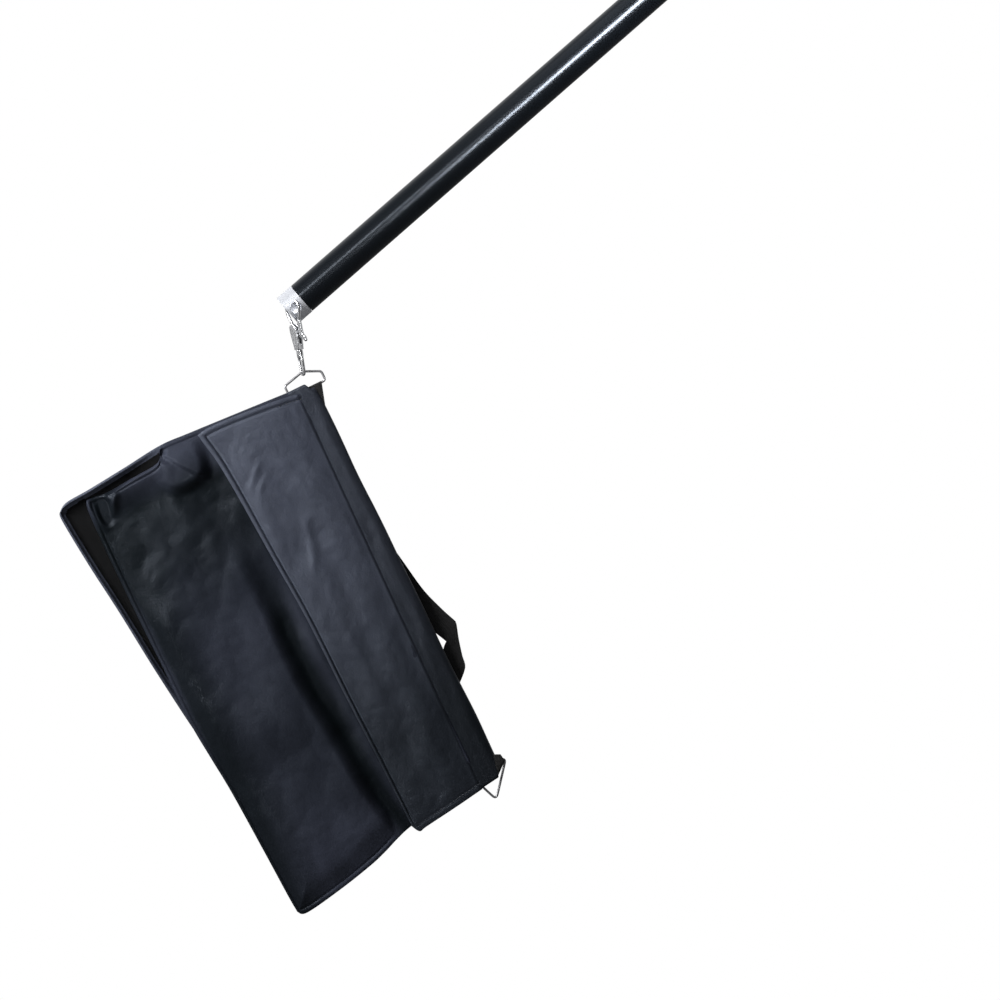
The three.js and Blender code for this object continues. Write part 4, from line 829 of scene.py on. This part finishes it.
# Creases of the cloth: points, depth in millimetres, width to the left and right, fade-in and fade-out share
FLAP_STREAKS = [([(35, 69), (47, 84), (63, 98)], -0.8, 2.6, 3.8, 0.4, 0.4),
                ([(50, 71), (60, 84), (74, 93)], -0.6, 2.6, 3.4, 0.4, 0.4),
                ([(92, 60), (128, 66), (160, 80)], -1.0, 4.0, 5.0, 0.3, 0.3),
                ([(60, 52), (120, 58), (200, 55), (280, 62)], 1.1, 9, 12, 0.3, 0.3)]
POUCH_CREASES = [([(-12, 157), (-7, 155.3), (-1, 154.5)], -1.8, 1.3, 1.3, 0.05, 0.3),
                 (HEM_RIDGE, -5.6, 2.4, 14.0, 0.08, 0.12),
                 ([(0, 233.5), (12, 232.5), (27, 229), (38, 224)], -3.6, 3.6, 5.0, 0.1, 0.35),
                 ([(6, 217), (14, 221), (24, 224), (34, 222)], 4.2, 4.4, 4.2, 0.15, 0.3),
                 ([(6, 204), (12, 209), (19, 214), (28, 217)], -2.6, 2.2, 3.6, 0.15, 0.3),
                 ([(60, 215), (130, 205), (200, 196), (262, 186)], 1.6, 15, 20, 0.3, 0.3),
                 ([(262, 226), (308, 206), (352, 180), (385, 160)], 2.0, 15, 22, 0.25, 0.3)]
REAR_SINK = ([(20, 190), (120, 176), (240, 160), (330, 150)], 3.2, 12, 16, 0.25, 0.25)
PRESSED_HEIGHT = 4.3
REAR_OFFSET = -1.6


def flap_front(places, inset, from_root):
    """Outer face of a flap: sewn down at its root, puffed at its hem and slack between."""
    u, v = places.T
    rise = 4.0 + 0.9 * eased(from_root, 0, 3.2) + 3.7 * dome(from_root, 40)
    hem = bell(inset, 2.6, 2.2, 0.7) - bell(inset, 5.8, 0.8, 1.2)
    hem = hem * (1 - 0.65 * eased(u, 382, 390))
    seam = -bell(from_root, 0, 1.4, 0.5)
    slack = ripple(places, 70, 34, 1.5, 3.1) + ripple(places, 26, 17, 0.7, 8.4)
    slack += crumple(places, 30, 0.8, 5.7) + crumple(places, 11, 0.5, 2.2) + creases(places, FLAP_STREAKS)
    tail = 1.4 * eased(u, 330, 400) * eased(v, 60, 96)
    return rise + hem + seam + tail + slack * eased(inset, 1, 16) * eased(from_root, 0, 12)


def pressed(height, v):
    """The height of a pouch kept low where its flap lies on it, and the share that lies there."""
    under_flap = 1 - eased(v, 92, 106)
    return height * (1 - under_flap) + np.minimum(height, PRESSED_HEIGHT) * under_flap, under_flap


def pouch_hem(inset):
    return bell(inset, 2.4, 1.8, 0.5) - bell(inset, 5.0, 0.9, 0.8)


def knot_of_folds(places):
    """The bunch at the pouch's top: a flat facet that rises to a crease and falls off steeply all round."""
    u, v = places.T
    inside, _ = Line(KNOT_FLANK).beside(places)
    past_crease, _ = Line(FACET_CREASE).beside(places)
    facet = 0.318 * u + 0.113 * v - 11.2
    below = facet - 4.2 - 0.24 * np.maximum(past_crease, 0)
    height = facet + (below - facet) * eased(past_crease, -0.4, 1.2)
    share = eased(inside, -6.5, 5.5) * (1 - eased(v, 158, 172))
    return np.maximum(height, 0) * share


def front_pouch_front(places, inset, from_root):
    """Face of the front pouch: a crown with the long fold, the knot of folds at its top and its hems."""
    u, v = places.T
    fold_depth = bpy.context.scene.boom_cloth.fold_depth
    off, share = Line(LONG_FOLD).beside(places)
    strength = eased(share, 0.06, 0.42)
    left = fold_depth * (1 - eased(off, -1, 16))
    right = fold_depth * (1 - 0.62 * eased(-off, 3, 20))
    valley = np.where(off > 0, left, right) * strength
    basin = 0.12 + 0.88 * eased(u, 24, 135)
    fullness = 8.0 + 2.0 * eased(u, 150, 260) * (1 - eased(u, 330, 400))
    crown = 1.8 + fullness * basin * dome(inset, 34) * (0.72 + 0.28 * eased(v, 96, 150))
    body, under_flap = pressed(crown - valley, v)
    pits = mound(places, (-5.4, 160.2), 2.6, 2.3, -6.0) + mound(places, (-7.4, 151.4), 2.8, 2.4, -6.0)
    waves = ripple(places, 58, 36, 3.0, 1.7) + ripple(places, 27, 19, 1.0, 4.4)
    waves += crumple(places, 34, 1.4, 9.2) + crumple(places, 12, 0.5, 5.5)
    away = 1 - under_flap
    shape = body + (knot_of_folds(places) + pits + creases(places, POUCH_CREASES)) * away
    shape += waves * eased(inset, 4, 26) * (0.25 + 0.75 * away) + pouch_hem(inset) * eased(v, 110, 125)
    return np.maximum(shape, 1.4)


def front_pouch_back(places, inset, from_root):
    return 0.5 + 0.2 * eased(inset, 0, 20)


def open_margin(places):
    """Share of the rear pouch's outer margin that shows past the front pouch."""
    u, v = places.T
    return eased(v, 150, 200) * (1 - eased(u, 150, 232))


def rear_pouch_front(places, inset, from_root):
    """The rear pouch's side towards the front one: its outer margin and top hem curl forward."""
    margin = open_margin(places)
    curl = bell(inset, 1.5, 4.6, 6.4) + 3.0 * (1 - eased(inset, 2, 24))
    dip = -bell(inset, 4.4, 0.9, 1.0)
    waves = ripple(places, 45, 16, 1.0, 7.7) * eased(places[:, 1], 200, 235)
    return REAR_OFFSET + (curl + dip + waves) * margin


def rear_pouch_back(places, inset, from_root):
    """The rear pouch's outer side, seen only from behind."""
    v = places[:, 1]
    crown, under_flap = pressed(1.4 + 6.8 * dome(inset, 36) * (0.7 + 0.3 * eased(v, 96, 150)), v)
    waves = ripple(places, 64, 38, 3.0, 11.3) + ripple(places, 26, 19, 0.9, 2.9)
    waves += crumple(places, 32, 1.4, 6.1) + crease(places, *REAR_SINK)
    slack = waves * eased(inset, 4, 26) * (1 - 0.75 * under_flap)
    depth = np.maximum(crown + slack + pouch_hem(inset), 1.2)
    return REAR_OFFSET - depth + 4.6 * (1 - eased(inset, 0, 22)) * open_margin(places)


CHROME = (0.66, 0.67, 0.69)
ZINC = (0.6, 0.61, 0.63)
DARK_WIRE = (0.36, 0.36, 0.375)
OFF_WHITE = (0.62, 0.62, 0.57)


def finishes():
    """The materials of this object, made once."""
    scene = bpy.context.scene
    if "made" not in finishes.__dict__:
        cloth, metal = scene.boom_cloth, scene.boom_metal

        def nylon(name, share, shine, wear_and_light_shares, shaded_creases=False):
            return coated_cloth(name, tone(cloth.cloth, share), cloth.thread, shine, wear_and_light_shares, shaded_creases)

        finishes.made = {
            # The spine and front pouch are darker copies of the flap's nylon (shares 0.62 and 0.8): painted shade
            "flap_nylon": nylon("flap_nylon", 1.0, 0.6, FLAP_WEAR_AND_LIGHT_SHARES),
            "spine_nylon": nylon("spine_nylon", 0.62, 0.5, SPINE_WEAR_AND_LIGHT_SHARES),
            "pouch_nylon": nylon("pouch_nylon", 0.8, 0.16, POUCH_WEAR_AND_LIGHT_SHARES, True),
            "rear_nylon": nylon("rear_nylon", 1.0, 0.6, FLAP_WEAR_AND_LIGHT_SHARES),
            "reverse_cloth_shade": reverse_cloth_shade(cloth),
            "black_webbing": webbing_weave(cloth),
            "sewing_thread": sewing_thread(cloth),
            "closure_tape": closure_pile(),
            "painted_tube": tube_paint(metal),
            "painted_casting": powder_coat(metal),
            "moulded_plastic": moulded_nylon("moulded_plastic", metal.knob, 0.4),
            "white_nylon": moulded_nylon("white_nylon", OFF_WHITE, 0.35),
            "gray_fibre": pressed_fibre(),
            "bright_aluminium": turned_aluminium(),
            "bright_chrome": bright_metal("bright_chrome", CHROME, 0.15, 0.08, 0.88),
            "zinc_steel": bright_metal("zinc_steel", ZINC, 0.26, 0.18, 0.85),
            "wire_steel": bright_metal("wire_steel", DARK_WIRE, 0.34, 0.14, 0.8),
        }
    return finishes.made


# Operators


class BOOM_OT_studio(bpy.types.Operator):
    """Floor, lights, even room light and the camera of the photograph"""

    bl_idname = "boom.studio"
    bl_label = "Studio"

    CAMERA_PLACE = (-0.4559, -4.06, -0.6548)
    CAMERA_LENS = 158.4
    FLOOR_MIDDLE = (-0.2, 0, -1.5)
    FLOOR_SIZE = 6.0
    FLOOR_SHINE = 0.13
    GLINT_SHARE = 0.022
    KEY_OFFSET = Vector((-0.95, -0.66, 0.4))

    def execute(self, context):
        scene, settings = context.scene, context.scene.boom_studio
        camera = bpy.data.cameras.new("boom_camera")
        camera.sensor_width = 36
        camera.lens = self.CAMERA_LENS
        holder = bpy.data.objects.new("boom_camera", camera)
        holder.location = self.CAMERA_PLACE
        holder.rotation_euler = (math.pi / 2, 0, 0)
        scene.collection.objects.link(holder)
        scene.camera = holder

        shape = bmesh.new()
        bmesh.ops.create_grid(shape, x_segments=1, y_segments=1, size=self.FLOOR_SIZE)
        bmesh.ops.translate(shape, vec=self.FLOOR_MIDDLE, verts=shape.verts)
        mesh = bpy.data.meshes.new("floor")
        shape.to_mesh(mesh)
        shape.free()
        mesh.materials.append(self.floor_paper())
        floor = bpy.data.objects.new("floor", mesh)
        scene.collection.objects.link(floor)

        bag, tube, tail = on_bag(60, 90), on_boom(190), on_boom(-790)
        self.soft_light("key_light", bag, self.KEY_OFFSET, (0.5, 0.4), settings.key)
        self.soft_light("strip_light", tube, 1.6 * TOWARDS_CAMERA, (1.3, 0.34), settings.strip, BOOM_WAY, 36)
        self.soft_light("glint_light", tail, 2.6 * TOWARDS_CAMERA + 1.15 * BOOM_UP, (0.16, 0.34),
                        settings.strip * self.GLINT_SHARE, BOOM_WAY, 30)
        self.soft_light("sheen_light", tube, 0.9 * TOWARDS_CAMERA + 1.9 * BOOM_UP, (1.3, 1.9), settings.sheen,
                        BOOM_WAY)

        scene.world = self.room(settings.room)
        scene.view_settings.view_transform = "Standard"
        return {"FINISHED"}

    def floor_paper(self):
        """Paper that is plain white to the camera, dim in shiny surfaces and shaded for every other ray."""
        f = Finish("floor_paper")
        rough = f.cloud(f.place(), 300.0, 3.0)
        colour = f.blend(rough, gray(0.78), gray(0.82))
        paper = f.node("ShaderNodeBsdfDiffuse", None, {"Color": colour})
        shown = f.either(f.ray("Glossy"), paper, f.glow("Emission", self.FLOOR_SHINE))
        return f.out(f.either(f.ray("Camera").most(f.ray("Transmission")), shown, f.glow("Emission", 1.0)))

    def room(self, strength):
        """White to the camera, even to rough surfaces; shiny ones see it bright behind and dim in front."""
        f = Finish("room", "worlds")
        around = f.node("ShaderNodeTexCoord", output="Generated")
        backdrop = f.node("ShaderNodeMapRange", None, {
            "Value": f.axes(around)[1], "From Min": -0.3, "From Max": 0.6, "To Min": 0.05, "To Max": 0.8})
        shaded = f.either(f.ray("Glossy"), f.glow("Background", strength), f.glow("Background", backdrop))
        seen = f.ray("Camera").most(f.ray("Transmission"))
        return f.out(f.either(seen, shaded, f.glow("Background", 1.0)), "World")

    def soft_light(self, name, target, offset, size, power, long_way=None, spread=180):
        light = bpy.data.lights.new(name, "AREA")
        light.shape = "RECTANGLE"
        light.size, light.size_y = size
        light.energy = power
        light.spread = math.radians(spread)
        holder = bpy.data.objects.new(name, light)
        back = offset.normalized()
        side = (long_way or Vector((0, 0, 1)).cross(back)).normalized()
        side = (side - back * side.dot(back)).normalized()
        holder.matrix_world = Matrix((side, back.cross(side), back)).transposed().to_4x4()
        holder.location = target + offset
        bpy.context.scene.collection.objects.link(holder)


class BOOM_OT_tubes(bpy.types.Operator):
    """Painted outer and inner tubes and the bright ferrule at the tail"""

    bl_idname = "boom.tubes"
    bl_label = "Tubes and Ferrule"

    OUTER = [(13.5, -845.6), (14.0, -846.0), (14.6, -846.0), (15.0, -845.6), (15.0, 316.6), (14.6, 317.0),
             (14.0, 317.0), (13.5, 316.6)]
    INNER = [(11.0, -450.6), (11.4, -451.0), (12.1, -451.0), (12.5, -450.6), (12.5, 588.6), (12.1, 589.0),
             (11.4, 589.0), (11.0, 588.6)]

    def execute(self, context):
        paint = finishes()["painted_tube"]
        spun("outer_tube_finished", self.OUTER, paint, "boom", ("outer_tube",))
        spun("inner_tube_finished", self.INNER, paint, "extension", ("inner_tube",))
        broken_edges("end_ferrule", finishes()["bright_aluminium"], 0.0005)
        return {"FINISHED"}


class BOOM_OT_hard_pieces(bpy.types.Operator):
    """Head, clamp, collar, knobs, screws and the light spigot"""

    bl_idname = "boom.hard_pieces"
    bl_label = "Head, Clamp, Collar and Knobs"

    EDGES = {
        "stand_socket": 0.0009, "tube_clamp": 0.0009, "telescope_collar": 0.0005, "end_plug": 0.0008,
        "light_spigot": 0.0004, "socket_lock_handle": 0.0007, "tilt_handle": 0.0007, "clamp_handle": 0.0007,
        "collar_handle": 0.0007, "socket_lock_screw": 0.0003, "clamp_bolt": 0.0003, "collar_screw": 0.0003,
        "tilt_stud": 0.0003, "tilt_washer": 0.0002, "tilt_friction_disc": 0.0003, "clamp_liner": 0.0002,
        "inner_guide": 0.0001, "pressure_pad": 0.0003, "inner_glide": 0.0004, "spigot_pin": 0.0003,
        "gate_pin": 0.0002,
    }

    def execute(self, context):
        for node, edge in self.EDGES.items():
            broken_edges(node, finishes()[slot_of_node(node)], edge)
        return {"FINISHED"}


class BOOM_OT_snap(bpy.types.Operator):
    """Trigger snap with its gate, spring and swivel eye"""

    bl_idname = "boom.snap"
    bl_label = "Trigger Snap"

    HOOK = [(-4.4, -21), (-6.6, -15.5), (-8.8, -9), (-10.6, -3.5), (-10.8, 2.5), (-8.2, 7.4), (-3.4, 8.6),
            (1.2, 6.8), (3.4, 2.2), (3.3, -3), (2.2, -8), (1.2, -10.8)]
    CHEEK = [(-8.4, -16.5), (-6.2, -14.2), (-3.2, -15.2), (-1.4, -18), (-0.8, -23), (-0.8, -29), (-1.2, -34),
             (-1.6, -38), (-6.4, -38), (-6.8, -34), (-7.6, -28), (-8.4, -21)]
    WEB = [(-8.4, -16.5), (-6.2, -14.2), (-4.6, -15.0), (-4.8, -22), (-4.6, -30), (-1.6, -33), (-1.6, -38),
           (-6.4, -38), (-6.8, -34), (-7.6, -28), (-8.4, -21)]
    GATE = [(-0.2, -11.2), (2.6, -11.2), (3.0, -16), (3.0, -20), (3.4, -24), (5.7, -27.5), (6.3, -30.6),
            (5.2, -31.8), (3.4, -30.0), (1.2, -27.6), (-2.4, -27.4), (-3.3, -25), (-2.6, -22.4),
            (-0.4, -19), (-0.4, -15)]

    def execute(self, context):
        chrome = finishes()["bright_chrome"]
        hook = bmesh.new()
        round_wire(hook, [on_snap(across, up) for across, up in self.HOOK], 1.45)
        for outline, near, far in ((self.CHEEK, -3.9, -1.75), (self.CHEEK, 1.75, 3.9), (self.WEB, -2.2, 2.2)):
            plate_on_snap(hook, outline, near, far)
        gate = bmesh.new()
        plate_on_snap(gate, self.GATE, -1.45, 1.45)
        for shape in (hook, gate):
            bmesh.ops.recalc_face_normals(shape, faces=shape.faces)
        cast("snap_hook", hook, chrome, 0.24, 5)
        cast("snap_gate", gate, chrome, 0.2, 4)
        cast("swivel_eye", welded("swivel_eye"), chrome, 0.22, 4)
        cast("gate_spring", welded("gate_spring"), finishes()["zinc_steel"], 0.1, 2)
        return {"FINISHED"}


class BOOM_OT_rings(bpy.types.Operator):
    """Wire rings at both ends of the bag's spine"""

    bl_idname = "boom.rings"
    bl_label = "Wire Rings"

    def execute(self, context):
        for node in ("top_ring", "bottom_ring"):
            piece = finished(f"{node}_finished", welded(node), finishes()["wire_steel"], body_of_node(node),
                             (node,), slot_of_node(node))
            rounded = piece.modifiers.new("rounded", "SUBSURF")
            rounded.levels = 2
            rounded.render_levels = 2
        return {"FINISHED"}


class BOOM_OT_pouches(bpy.types.Operator):
    """Front and rear pouch of the empty bag"""

    bl_idname = "boom.pouches"
    bl_label = "Pouches"

    HEM = 5.4
    RIM = 2.4
    COLUMNS, ROWS = 170, 230

    def execute(self, context):
        front_edges = FRONT_TOP, FRONT_FOOT, FRONT_ROOT, FRONT_OUTER
        rear_edges = REAR_TOP, REAR_FOOT, REAR_ROOT, REAR_OUTER
        self.pouch("front_pouch", "pouch_nylon", front_edges, front_pouch_front, front_pouch_back, -1)
        self.pouch("rear_pouch", "rear_nylon", rear_edges, rear_pouch_front, rear_pouch_back, 1)
        return {"FINISHED"}

    def pouch(self, name, cloth, edges, front, back, inner_side):
        shape = pillow(Patch(*edges), self.COLUMNS, self.ROWS, front, back, self.RIM)
        piece = finished(f"{name}_cloth", shape, finishes()[cloth], name, (name,), "coated_nylon")
        self.show_reverse_shade(piece, edges, inner_side)

    def show_reverse_shade(self, piece, edges, side):
        """The faces that lie against the other pouch get the near-black cloth inside their hems: painted shade in
        the rear pouch's margin that shows past the front pouch.
        """
        piece.data.materials.append(finishes()["reverse_cloth_shade"])
        outline = [Line(edge) for edge in (edges[0], edges[1], edges[3])]
        inner = [face for face in piece.data.polygons if side * face.normal.dot(TOWARDS_CAMERA) > 0.2]
        offsets = [(face.center - BAG_CORNER) / MM for face in inner]
        places = np.array([(off.dot(SPINE_WAY), off.dot(ACROSS_WAY)) for off in offsets])
        inset = np.min([np.abs(line.beside(places)[0]) for line in outline], axis=0)
        for face, depth in zip(inner, inset):
            # Painted shade: faces inside the hem get the near-black cloth
            if depth > self.HEM:
                face.material_index = 1


class BOOM_OT_flaps(bpy.types.Operator):
    """Hemmed flaps over both pouches, with their stitch lines and closure tapes"""

    bl_idname = "boom.flaps"
    bl_label = "Flaps"

    COLUMNS, ROWS = 90, 200
    BEND_START = 15.0
    BEND_END = 34.0
    STITCH_INSET = 5.8
    FAR = 40.0
    FLAT = (0.105, 0.413)
    FLAT_AREA = 0.0345
    LOOP_HEIGHT = 4.9
    HOOK_HEIGHT = 6.4
    TAPE_THICKNESS = 0.9
    TAPE_START, TAPE_END = 30.0, 360.0
    TAPE_INNER, TAPE_OUTER = 66.0, 86.0

    def execute(self, context):
        thickness = context.scene.boom_cloth.thickness
        self.flap("front", 1, thickness)
        self.flap("rear", -1, thickness)
        return {"FINISHED"}

    def flap(self, end, side, thickness):
        """One flap with its stitches and the tapes under it, on the front (1) or the back (-1) side."""
        name, pouch = f"{end}_flap", f"{end}_pouch"

        def out(places, inset, from_root):
            return side * flap_front(places, inset, from_root)

        def out_at_stitches(places):
            return out(places, np.full(len(places), self.STITCH_INSET), np.full(len(places), self.FAR))

        bend = (pouch, on_bag(0, self.BEND_START), on_bag(0, self.BEND_END))
        patch = Patch(FLAP_TOP, FLAP_FOOT, FLAP_ROOT, FLAP_FREE_EDGE)
        shape = cloth_sheet(patch, self.COLUMNS, self.ROWS, out, thickness, side)
        piece = finished(f"{name}_cloth", shape, finishes()["flap_nylon"], name, (name,), "coated_nylon",
                         bend=bend)
        thread = bmesh.new()
        for points in self.stitch_lines():
            stitch_row(thread, points, out_at_stitches)
        finished(f"{name}_stitches", thread, finishes()["sewing_thread"], name, (), "coated_nylon", bend=bend)
        self.tape(f"{end}_loop_tape", pouch, side * self.LOOP_HEIGHT, side)
        self.tape(f"{end}_hook_tape", name, side * self.HOOK_HEIGHT, side)

    def stitch_lines(self):
        """The free edge, the top and the foot of the flap, each moved in to the hem's stitches."""
        inset = self.STITCH_INSET
        free = [(np.clip(u, 1.5, 396.5), v - inset) for u, v in FLAP_FREE_EDGE]
        top = [(u + inset, min(v, 106.5)) for u, v in FLAP_TOP]
        foot = [(u - inset, min(v, 90)) for u, v in FLAP_FOOT[:4]]
        return free, top, foot

    def tape(self, name, body, height, side):
        """A strip of closure tape that lies flat between pouch and flap."""
        near = [(self.TAPE_START, self.TAPE_INNER), (self.TAPE_END, self.TAPE_INNER)]
        far = [(self.TAPE_START, self.TAPE_OUTER), (self.TAPE_END, self.TAPE_OUTER)]
        patch = Patch([near[0], far[0]], [near[1], far[1]], near, far)
        shape = cloth_sheet(patch, 6, 60, lambda places, inset, root: np.full(len(places), height),
                            self.TAPE_THICKNESS, side)
        finished(f"{name}_pile", shape, finishes()["closure_tape"], body, (name,), "closure_tape")


class BOOM_OT_spine(bpy.types.Operator):
    """Folded spine band"""

    bl_idname = "boom.spine"
    bl_label = "Spine Band"

    RADIUS = 3.6
    REACH = 25.4
    ROLL = 9.0
    FLAT_LENGTH = 0.395
    FLAT_AREA = 0.0208

    def execute(self, context):
        radius = self.RADIUS
        straight = self.REACH - radius
        bend = math.pi * radius
        whole = 2 * straight + bend

        def shape_at(s, t):
            along = t * whole
            angle = np.clip((along - straight) / radius, 0, math.pi)
            back = along - straight - bend
            bent = np.where(back > 0, radius + back, radius - radius * np.sin(angle))
            v = np.where(along < straight, self.REACH - along, bent)
            front = along < straight + bend / 2
            side = np.where(front, 1.0, -1.0)
            top = -0.5 - 6.0 * eased(v, 4.5, 9.0)
            foot = 372.5 + np.where(front, 18.2 * eased(v, 1.0, 6.0) + 0.13 * v, 14.0 * eased(v, 1.0, 7.0))
            places = np.stack([top + (foot - top) * s, v], axis=-1)
            waves = ripple(places, 40, 14, 0.7, 2.0) + crumple(places, 22, 0.6, 3.0)
            roll = radius * np.sqrt(1 - (1 - np.clip(v, 0, self.ROLL) / self.ROLL) ** 2)
            out = side * (roll + waves * eased(v, 2, 9) * (1 - eased(v, 14, 19)))
            edge = ripple(np.stack([places[:, 0], 0 * v], axis=-1), 60, 1, 0.9, 4.0)
            places[:, 1] += edge * (1 - eased(v, 0, 10))
            return places, out

        shape, places, t = cloth_grid(150, 56, 0.0, shape_at)
        lay_flat_uv(shape, np.stack([places[:, 0], t * whole], axis=-1))
        facing(shape, -ACROSS_WAY)
        bmesh.ops.solidify(shape, geom=shape.faces[:], thickness=context.scene.boom_cloth.thickness * MM)
        bmesh.ops.recalc_face_normals(shape, faces=shape.faces)
        piece = finished("bag_spine_cloth", shape, finishes()["spine_nylon"], "bag", ("bag_spine",),
                         "coated_nylon")
        return {"FINISHED"}


class BOOM_OT_webbing(bpy.types.Operator):
    """Webbing tabs at the rings and the carrying strap behind the spine"""

    bl_idname = "boom.webbing"
    bl_label = "Webbing"

    LOOP_RADIUS = 1.85
    FLAT_GAP = 0.75
    END_V = 1.5
    TAB_WIDTH = 20.0
    TAB_STEPS = (25.0, 18.0, 12.0, 10.0, 8.0, 6.0, 4.0)
    STRAP_WIDTH = 19.0

    def execute(self, context):
        self.tab("top_tab", ring_u=-1.0, way=1, far_v=12.0, near_v=-6.2, slant=0.0, widening=(0.0, 25.0))
        self.tab("bottom_tab", ring_u=383.0, way=-1, far_v=8.0, near_v=-5.0, slant=0.85, widening=(3.6, 9.4))
        self.strap()
        return {"FINISHED"}

    def tab(self, node, ring_u, way, far_v, near_v, slant, widening):
        """Webbing round a ring's wire and back between the cloths."""
        path = []
        loop = self.LOOP_RADIUS

        def out_at(d):
            return self.FLAT_GAP + (loop - self.FLAT_GAP) * (1 - eased(d, 2, 11))

        points = [(ring_u + way * d, out_at(d), d) for d in self.TAB_STEPS]
        for k in range(9):
            angle = math.pi / 2 * (1 - k / 4)
            points.append((ring_u - way * loop * math.cos(angle), loop * math.sin(angle), 0.0))
        points += [(ring_u + way * d, -out_at(d), d) for d in reversed(self.TAB_STEPS)]
        for u, out, d in points:
            near = np.interp(d, widening, (near_v, self.END_V))
            middle = (far_v + near) / 2
            path.append((on_bag(u, middle, out), ACROSS_WAY + slant * SPINE_WAY,
                         math.hypot(1, slant) * (far_v - near) / self.TAB_WIDTH))
        webbing_strip(f"{node}_webbing", path, self.TAB_WIDTH, 1.2, "bag", (node,), 12)

    def strap(self):
        """Webbing sewn behind the spine: flat to its corner, folded there and on edge on its way back."""
        outer = [(150, 3.0), (177.6, -1.5), (208.5, -6.7), (231.2, -13.9), (244, -19.0), (247.4, -20.3),
                 (251, -19.6), (261.6, -16.2), (277.9, -12.3), (288.9, -10.0), (300.5, 1.7)]
        inner = [(150, 21.0), (180, 16.5), (212, 11.5), (238, 5.0), (257, -3.4), (260.1, -4.8), (261, -3.4),
                 (264.5, 0.2), (276, 7.0), (288, 9.0), (301, 20.0)]
        depth = [5.6, 6.4, 7.4, 8.4, 8.8, 9.0, 9.2, 9.0, 8.0, 7.0, 5.8]
        lean = [0.0, 0.0, -0.6, -1.0, -1.6, -2.6, -3.6, -4.0, -3.0, -2.0, 0.0]
        share = np.linspace(0, 1, 60)
        outer, inner = Line(outer).at(share), Line(inner).at(share)
        knots = np.linspace(0, 1, len(depth))
        path = []
        depth, lean = (np.interp(share, knots, values) for values in (depth, lean))
        for a, b, out, tip in zip(outer, inner, depth, lean):
            start, end = on_bag(*a, -out + tip / 2), on_bag(*b, -out - tip / 2)
            path.append(((start + end) / 2, end - start, (end - start).length / (self.STRAP_WIDTH * MM)))
        webbing_strip("carry_strap_webbing", path, self.STRAP_WIDTH, 1.5, "strap", ("carry_strap",), 10)


class BOOM_PT_sidebar(bpy.types.Panel):
    """Sizes, colours and pieces of the boom arm"""

    bl_idname = "BOOM_PT_sidebar"
    bl_label = "Boom Arm"
    bl_space_type = "VIEW_3D"
    bl_region_type = "UI"
    bl_category = "Boom Arm"

    def draw(self, context):
        for group in (context.scene.boom_cloth, context.scene.boom_metal, context.scene.boom_studio):
            box = self.layout.box()
            for name in group.bl_rna.properties.keys():
                if name not in ("rna_type", "name"):
                    box.prop(group, name)
        for operator in OPERATORS:
            self.layout.operator(operator.bl_idname)


OPERATORS = (BOOM_OT_studio, BOOM_OT_tubes, BOOM_OT_hard_pieces, BOOM_OT_snap, BOOM_OT_rings, BOOM_OT_pouches,
             BOOM_OT_flaps, BOOM_OT_spine, BOOM_OT_webbing)
CLASSES = (ClothSettings, MetalSettings, StudioSettings, *OPERATORS, BOOM_PT_sidebar)


def register():
    for cls in CLASSES:
        bpy.utils.register_class(cls)
    bpy.types.Scene.boom_cloth = bpy.props.PointerProperty(type=ClothSettings)
    bpy.types.Scene.boom_metal = bpy.props.PointerProperty(type=MetalSettings)
    bpy.types.Scene.boom_studio = bpy.props.PointerProperty(type=StudioSettings)


def unregister():
    del bpy.types.Scene.boom_studio
    del bpy.types.Scene.boom_metal
    del bpy.types.Scene.boom_cloth
    for cls in reversed(CLASSES):
        bpy.utils.unregister_class(cls)


def main():
    register()
    bpy.ops.boom.studio()
    bpy.ops.boom.tubes()
    bpy.ops.boom.hard_pieces()
    bpy.ops.boom.snap()
    bpy.ops.boom.rings()
    bpy.ops.boom.pouches()
    bpy.ops.boom.flaps()
    bpy.ops.boom.spine()
    bpy.ops.boom.webbing()


if __name__ == "__main__":
    main()
